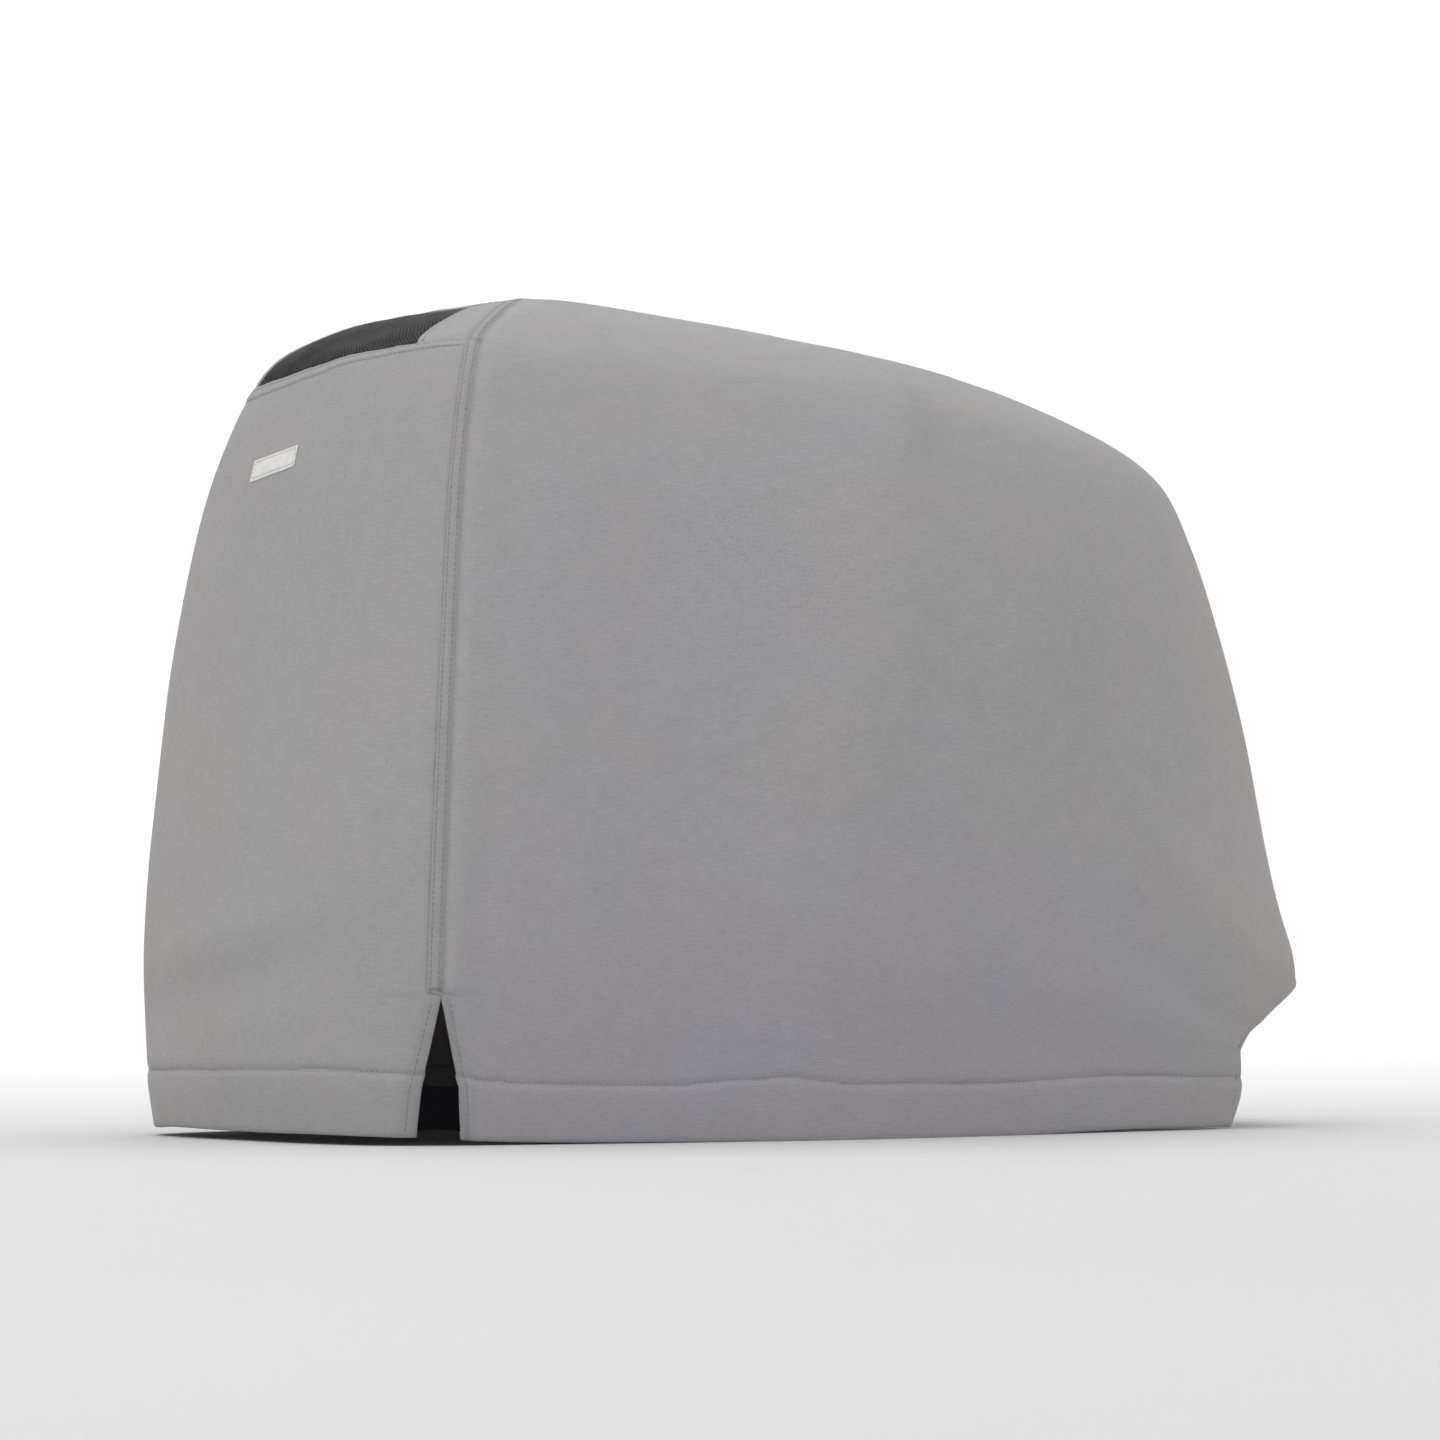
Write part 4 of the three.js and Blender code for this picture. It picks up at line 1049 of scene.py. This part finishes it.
def canvas_material(name="canvas", colour=CANVAS, deep=1.0):
    k = Nodes(name)
    at = k.attribute("cloth")
    streak = k.noise(k.scale(at, (1 / 7.5, 1 / 1.05, 0)), 1.0, 3.0, 0.55)
    slub = k.noise(k.scale(at, (1 / 1.2, 1 / 8.0, 0)), 1.0, 2.0, 0.5)
    fleck = k.noise(k.scale(at, (1 / 1.4, 1 / 0.75, 0)), 1.0, 1.0, 0.5)
    mottle = k.noise(k.scale(at, (1 / 20, 1 / 13, 0), 0.5), 1.0, 3.0, 0.55)
    patch = k.noise(k.scale(at, (1 / 120, 1 / 90, 0)), 1.0, 2.0, 0.5)
    tone = k.math("MULTIPLY_ADD", k.math("SUBTRACT", streak, 0.5), 0.34 * deep, 1.0)
    tone = k.math("MULTIPLY_ADD", k.math("SUBTRACT", slub, 0.5), 0.13 * deep, tone)
    tone = k.math("MULTIPLY_ADD", k.math("SUBTRACT", fleck, 0.5), 0.22 * deep, tone)
    tone = k.math("MULTIPLY_ADD", k.math("SUBTRACT", mottle, 0.5), 0.12, tone)
    tone = k.math("MULTIPLY_ADD", k.math("SUBTRACT", patch, 0.5), 0.08, tone)
    # the painted shade and highlights from shading() scale the tone here
    tone = k.math("MULTIPLY", tone, k.attribute("shade", "Fac"))
    hue = k.noise(k.scale(at, (1 / 95, 1 / 75, 0), 0.8), 1.0, 2.0, 0.5)
    warm = k.ramp(hue, [(0.34, (colour[0] * 0.992, colour[1] * 1.0, colour[2] * 1.016)), (0.50, colour),
                        (0.66, (colour[0] * 1.014, colour[1] * 0.998, colour[2] * 0.994))])
    parts = k.t.nodes.new("ShaderNodeSeparateXYZ")
    k.t.links.new(at, parts.inputs[0])
    # the painted colour cast of reflected light, from the third cloth coordinate
    cast = k.ramp(k.math("MULTIPLY_ADD", parts.outputs[2], 0.5, 0.5), [(0.0, (0.984 / 1.055, 0.969 / 1.055, 1.047 / 1.055)), (0.5, (1 / 1.055, 1 / 1.055, 1 / 1.055)),
                                                                       (1.0, (1.0, 0.968 / 1.055, 0.978 / 1.055))])
    col = k.mix(1.0, k.mix(1.0, warm, k.grey(tone), "MULTIPLY"), cast, "MULTIPLY")
    k.put(k.bsdf.inputs["Base Color"], col)
    k.bsdf.inputs["Roughness"].default_value = 0.93
    k.bsdf.inputs["Specular IOR Level"].default_value = 0.18
    k.bsdf.inputs["Sheen Weight"].default_value = 0.06
    k.bsdf.inputs["Sheen Roughness"].default_value = 0.6
    # plain weave: warp and weft cross at right angles
    sep = k.t.nodes.new("ShaderNodeSeparateXYZ")
    k.t.links.new(at, sep.inputs[0])
    wob = k.math("MULTIPLY_ADD", fleck, 0.9, 0.0)
    wx = k.math("SINE", k.math("MULTIPLY_ADD", sep.outputs[0], 2 * math.pi / 0.95, wob))
    wy = k.math("SINE", k.math("MULTIPLY_ADD", sep.outputs[1], 2 * math.pi / 0.95, wob))
    weave = k.math("MULTIPLY", wx, wy)
    weave = k.math("MULTIPLY_ADD", k.math("SUBTRACT", streak, 0.5), 1.6, weave)
    n1 = k.bump(weave, 0.00010, 0.55)
    n2 = k.bump(mottle, 0.0007, 0.35, n1)
    k.put(k.bsdf.inputs["Normal"], n2)
    return k.m


def thread_material():
    k = Nodes("thread")
    co = k.t.nodes.new("ShaderNodeTexCoord").outputs["Object"]
    twist = k.noise(co, 900.0, 1.0, 0.5)
    col = k.ramp(twist, [(0.3, (0.225, 0.220, 0.225)), (0.7, (0.315, 0.308, 0.312))])
    k.put(k.bsdf.inputs["Base Color"], col)
    k.bsdf.inputs["Roughness"].default_value = 0.7
    k.bsdf.inputs["Specular IOR Level"].default_value = 0.3
    k.put(k.bsdf.inputs["Normal"], k.bump(twist, 0.0002, 0.5))
    return k.m


def mesh_material():
    k = Nodes("vent_mesh")
    at = k.attribute("cloth")
    dust = k.noise(k.scale(at, (1 / 26, 1 / 18, 0)), 1.0, 3.0, 0.55)
    fine = k.noise(k.scale(at, (1 / 0.8, 1 / 0.8, 0)), 1.0, 1.0, 0.5)
    tone = k.math("MULTIPLY_ADD", fine, 0.25, k.math("MULTIPLY", dust, 0.75))
    col = k.ramp(tone, [(0.25, (0.033, 0.032, 0.035)), (0.75, (0.072, 0.070, 0.073))])
    k.put(k.bsdf.inputs["Base Color"], col)
    k.bsdf.inputs["Roughness"].default_value = 0.62
    k.bsdf.inputs["Specular IOR Level"].default_value = 0.35
    k.put(k.bsdf.inputs["Normal"], k.bump(fine, 0.0002, 0.4))
    return k.m


def elastic_material():
    k = Nodes("elastic")
    at = k.attribute("cloth")
    sep = k.t.nodes.new("ShaderNodeSeparateXYZ")
    k.t.links.new(at, sep.inputs[0])
    knit = k.math("MULTIPLY", k.math("SINE", k.math("MULTIPLY", sep.outputs[0], 2 * math.pi / 1.0)),
                  k.math("SINE", k.math("MULTIPLY", sep.outputs[1], 2 * math.pi / 1.5)))
    fuzz = k.noise(k.scale(at, (1 / 1.2, 1 / 1.2, 0)), 1.0, 2.0, 0.5)
    col = k.ramp(k.math("MULTIPLY_ADD", knit, 0.15, fuzz), [(0.2, (0.0012, 0.0012, 0.0018)), (0.8, (0.0048, 0.0048, 0.0068))])
    k.put(k.bsdf.inputs["Base Color"], col)
    k.bsdf.inputs["Roughness"].default_value = 0.9
    k.bsdf.inputs["Specular IOR Level"].default_value = 0.10
    k.put(k.bsdf.inputs["Normal"], k.bump(knit, 0.0002, 0.7))
    return k.m


def label_material():
    k = Nodes("label")
    at = k.attribute("cloth")
    sep = k.t.nodes.new("ShaderNodeSeparateXYZ")
    k.t.links.new(at, sep.inputs[0])
    rib = k.math("SINE", k.math("MULTIPLY", sep.outputs[1], 2 * math.pi / 0.45))
    stain = k.noise(k.scale(at, (1 / 9, 1 / 5, 0)), 1.0, 3.0, 0.5)
    col = k.ramp(stain, [(0.3, (0.70, 0.69, 0.68)), (0.6, (0.80, 0.795, 0.79))])
    k.put(k.bsdf.inputs["Base Color"], col)
    k.bsdf.inputs["Roughness"].default_value = 0.55
    k.bsdf.inputs["Sheen Weight"].default_value = 0.2
    k.put(k.bsdf.inputs["Normal"], k.bump(rib, 0.0001, 0.5))
    return k.m


def label_thread_material():
    k = Nodes("label_thread")
    co = k.t.nodes.new("ShaderNodeTexCoord").outputs["Object"]
    twist = k.noise(co, 1200.0, 1.0, 0.5)
    col = k.ramp(twist, [(0.3, (0.40, 0.39, 0.40)), (0.7, (0.55, 0.54, 0.54))])
    k.put(k.bsdf.inputs["Base Color"], col)
    k.bsdf.inputs["Roughness"].default_value = 0.6
    return k.m


# ------------------------------------------------------------------ the pieces
canvas, thread = canvas_material(), thread_material()


def finish_piece(ob, material, node=None):
    ob.data.materials.append(material)
    if node:
        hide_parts(node)
    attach(ob, "root")
    return ob


def area_of(ob):
    me = ob.data
    a = np.zeros(len(me.polygons))
    me.polygons.foreach_get("area", a)
    return float(a.sum())


star = finish_piece(side_panel(1), canvas, "side_panel_starboard")
port = finish_piece(side_panel(-1), canvas, "side_panel_port")
back = finish_piece(rear_panel(), canvas, "rear_panel")
ring = finish_piece(vent_surround(), canvas, "vent_surround")
vent = finish_piece(vent_mesh(), mesh_material(), "vent_mesh")
band_s = finish_piece(elastic_band(1), elastic_material(), "elastic_starboard")
band_p = finish_piece(elastic_band(-1), bpy.data.materials["elastic"], "elastic_port")
label = finish_piece(sewn_label(), label_material(), "label")
for ob in build_stitches() + [surround_stitches(), tacks(1), tacks(-1)]:
    finish_piece(ob, thread)
label_sewing = finish_piece(label_stitches(), label_thread_material())

print("areas", {o.name: round(area_of(o) / 2, 4) for o in (star, port, back, ring, vent, band_s, label)})


# ------------------------------------------------------------------ floor, light and camera
def stage():
    n, m = 40, 48
    prof = [(-3.2, 0.0)]
    for a in np.linspace(0, math.pi / 2, 28):
        prof.append((3.2 + 2.6 * math.sin(a), 2.6 - 2.6 * math.cos(a)))
    prof.append((5.8, 7.0))
    prof = np.array(prof) * 1000
    view = Vector((-0.9048, 0.4188, 0)).normalized()
    across = Vector((-view.y, view.x, 0))
    pts, faces = [], []
    for p, z in prof:
        for w in (-9000, 9000):
            q = view * p + across * w
            pts.append((q.x, q.y, z))
    for i in range(len(prof) - 1):
        faces.append((2 * i, 2 * i + 1, 2 * i + 3, 2 * i + 2))
    pts[0] = tuple((view * -9000 + across * -9000))[:2] + (0,)
    pts[1] = tuple((view * -9000 + across * 9000))[:2] + (0,)
    ob = add_mesh("floor", np.array(pts), np.array(faces))
    k = Nodes("floor")
    k.bsdf.inputs["Base Color"].default_value = (0.66, 0.66, 0.66, 1)
    k.bsdf.inputs["Roughness"].default_value = 0.85
    k.bsdf.inputs["Specular IOR Level"].default_value = 0.1
    ob.data.materials.append(k.m)
    return ob


stage()

world = bpy.data.worlds.new("studio")
bpy.context.scene.world = world
world.use_nodes = True


def sky():
    """A pale sky, brighter overhead than at the horizon."""
    t = world.node_tree
    place = t.nodes.new("ShaderNodeTexCoord")
    parts = t.nodes.new("ShaderNodeSeparateXYZ")
    ramp = t.nodes.new("ShaderNodeValToRGB")
    t.links.new(place.outputs["Generated"], parts.inputs[0])
    t.links.new(parts.outputs[2], ramp.inputs[0])
    ends = ramp.color_ramp.elements
    ends[0].position, ends[0].color = 0.2, (SKY_LOW, SKY_LOW, SKY_LOW, 1)
    ends[1].position, ends[1].color = 0.9, (SKY_HIGH, SKY_HIGH, SKY_HIGH, 1)
    t.links.new(ramp.outputs[0], t.nodes["Background"].inputs[0])
    t.nodes["Background"].inputs[1].default_value = 1.0


SKY_LOW, SKY_HIGH = 0.55, 1.24
sky()


def area_light(name, place, target, size, power, colour=(1, 1, 1)):
    data = bpy.data.lights.new(name, "AREA")
    data.shape = "RECTANGLE"
    data.size, data.size_y = size
    data.energy = power
    data.color = colour
    ob = bpy.data.objects.new(name, data)
    bpy.context.scene.collection.objects.link(ob)
    ob.location = place
    ob.rotation_euler = (Vector(target) - Vector(place)).to_track_quat("-Z", "Y").to_euler()
    return ob


area_light("rear_softbox", (1.4, -3.6, 1.9), (0, -0.1, 0.3), (2.2, 2.0), 23)
area_light("side_softbox", (4.2, 0.6, 2.2), (0, 0, 0.3), (2.4, 2.0), 5)
area_light("front_softbox", (2.6, 3.6, 2.6), (0, 0, 0.3), (2.0, 2.0), 7)
area_light("backdrop_light", (-2.2, 1.0, 4.6), (-5.4, 2.5, 1.2), (7.0, 1.2), 200)

CAMERA = Vector((4.76314, -2.748, 0.15436))
AIM = Vector((-0.86671, 0.49826, 0.02354))  # from the photograph's place to the middle of the cover
RIGHT = Vector((0.49829, 0.86700, -0.00467))
UP = Vector((0.02274, -0.00768, 0.99971))
cam = bpy.data.cameras.new("camera")
cam.sensor_width = 36.0
cam.sensor_fit = "HORIZONTAL"
cam.lens = 198.6  # longer than the photograph's, so that the cover fills the frame
camera = bpy.data.objects.new("camera", cam)
bpy.context.scene.collection.objects.link(camera)
bpy.context.scene.camera = camera
camera.matrix_world = Matrix(((RIGHT.x, UP.x, -AIM.x, CAMERA.x), (RIGHT.y, UP.y, -AIM.y, CAMERA.y), (RIGHT.z, UP.z, -AIM.z, CAMERA.z), (0, 0, 0, 1)))
cam.clip_end = 60
bpy.context.scene.view_settings.view_transform = "Standard"
bpy.context.scene.view_settings.look = "None"
bpy.context.scene.view_settings.exposure = 0
bpy.context.scene.view_settings.gamma = 1
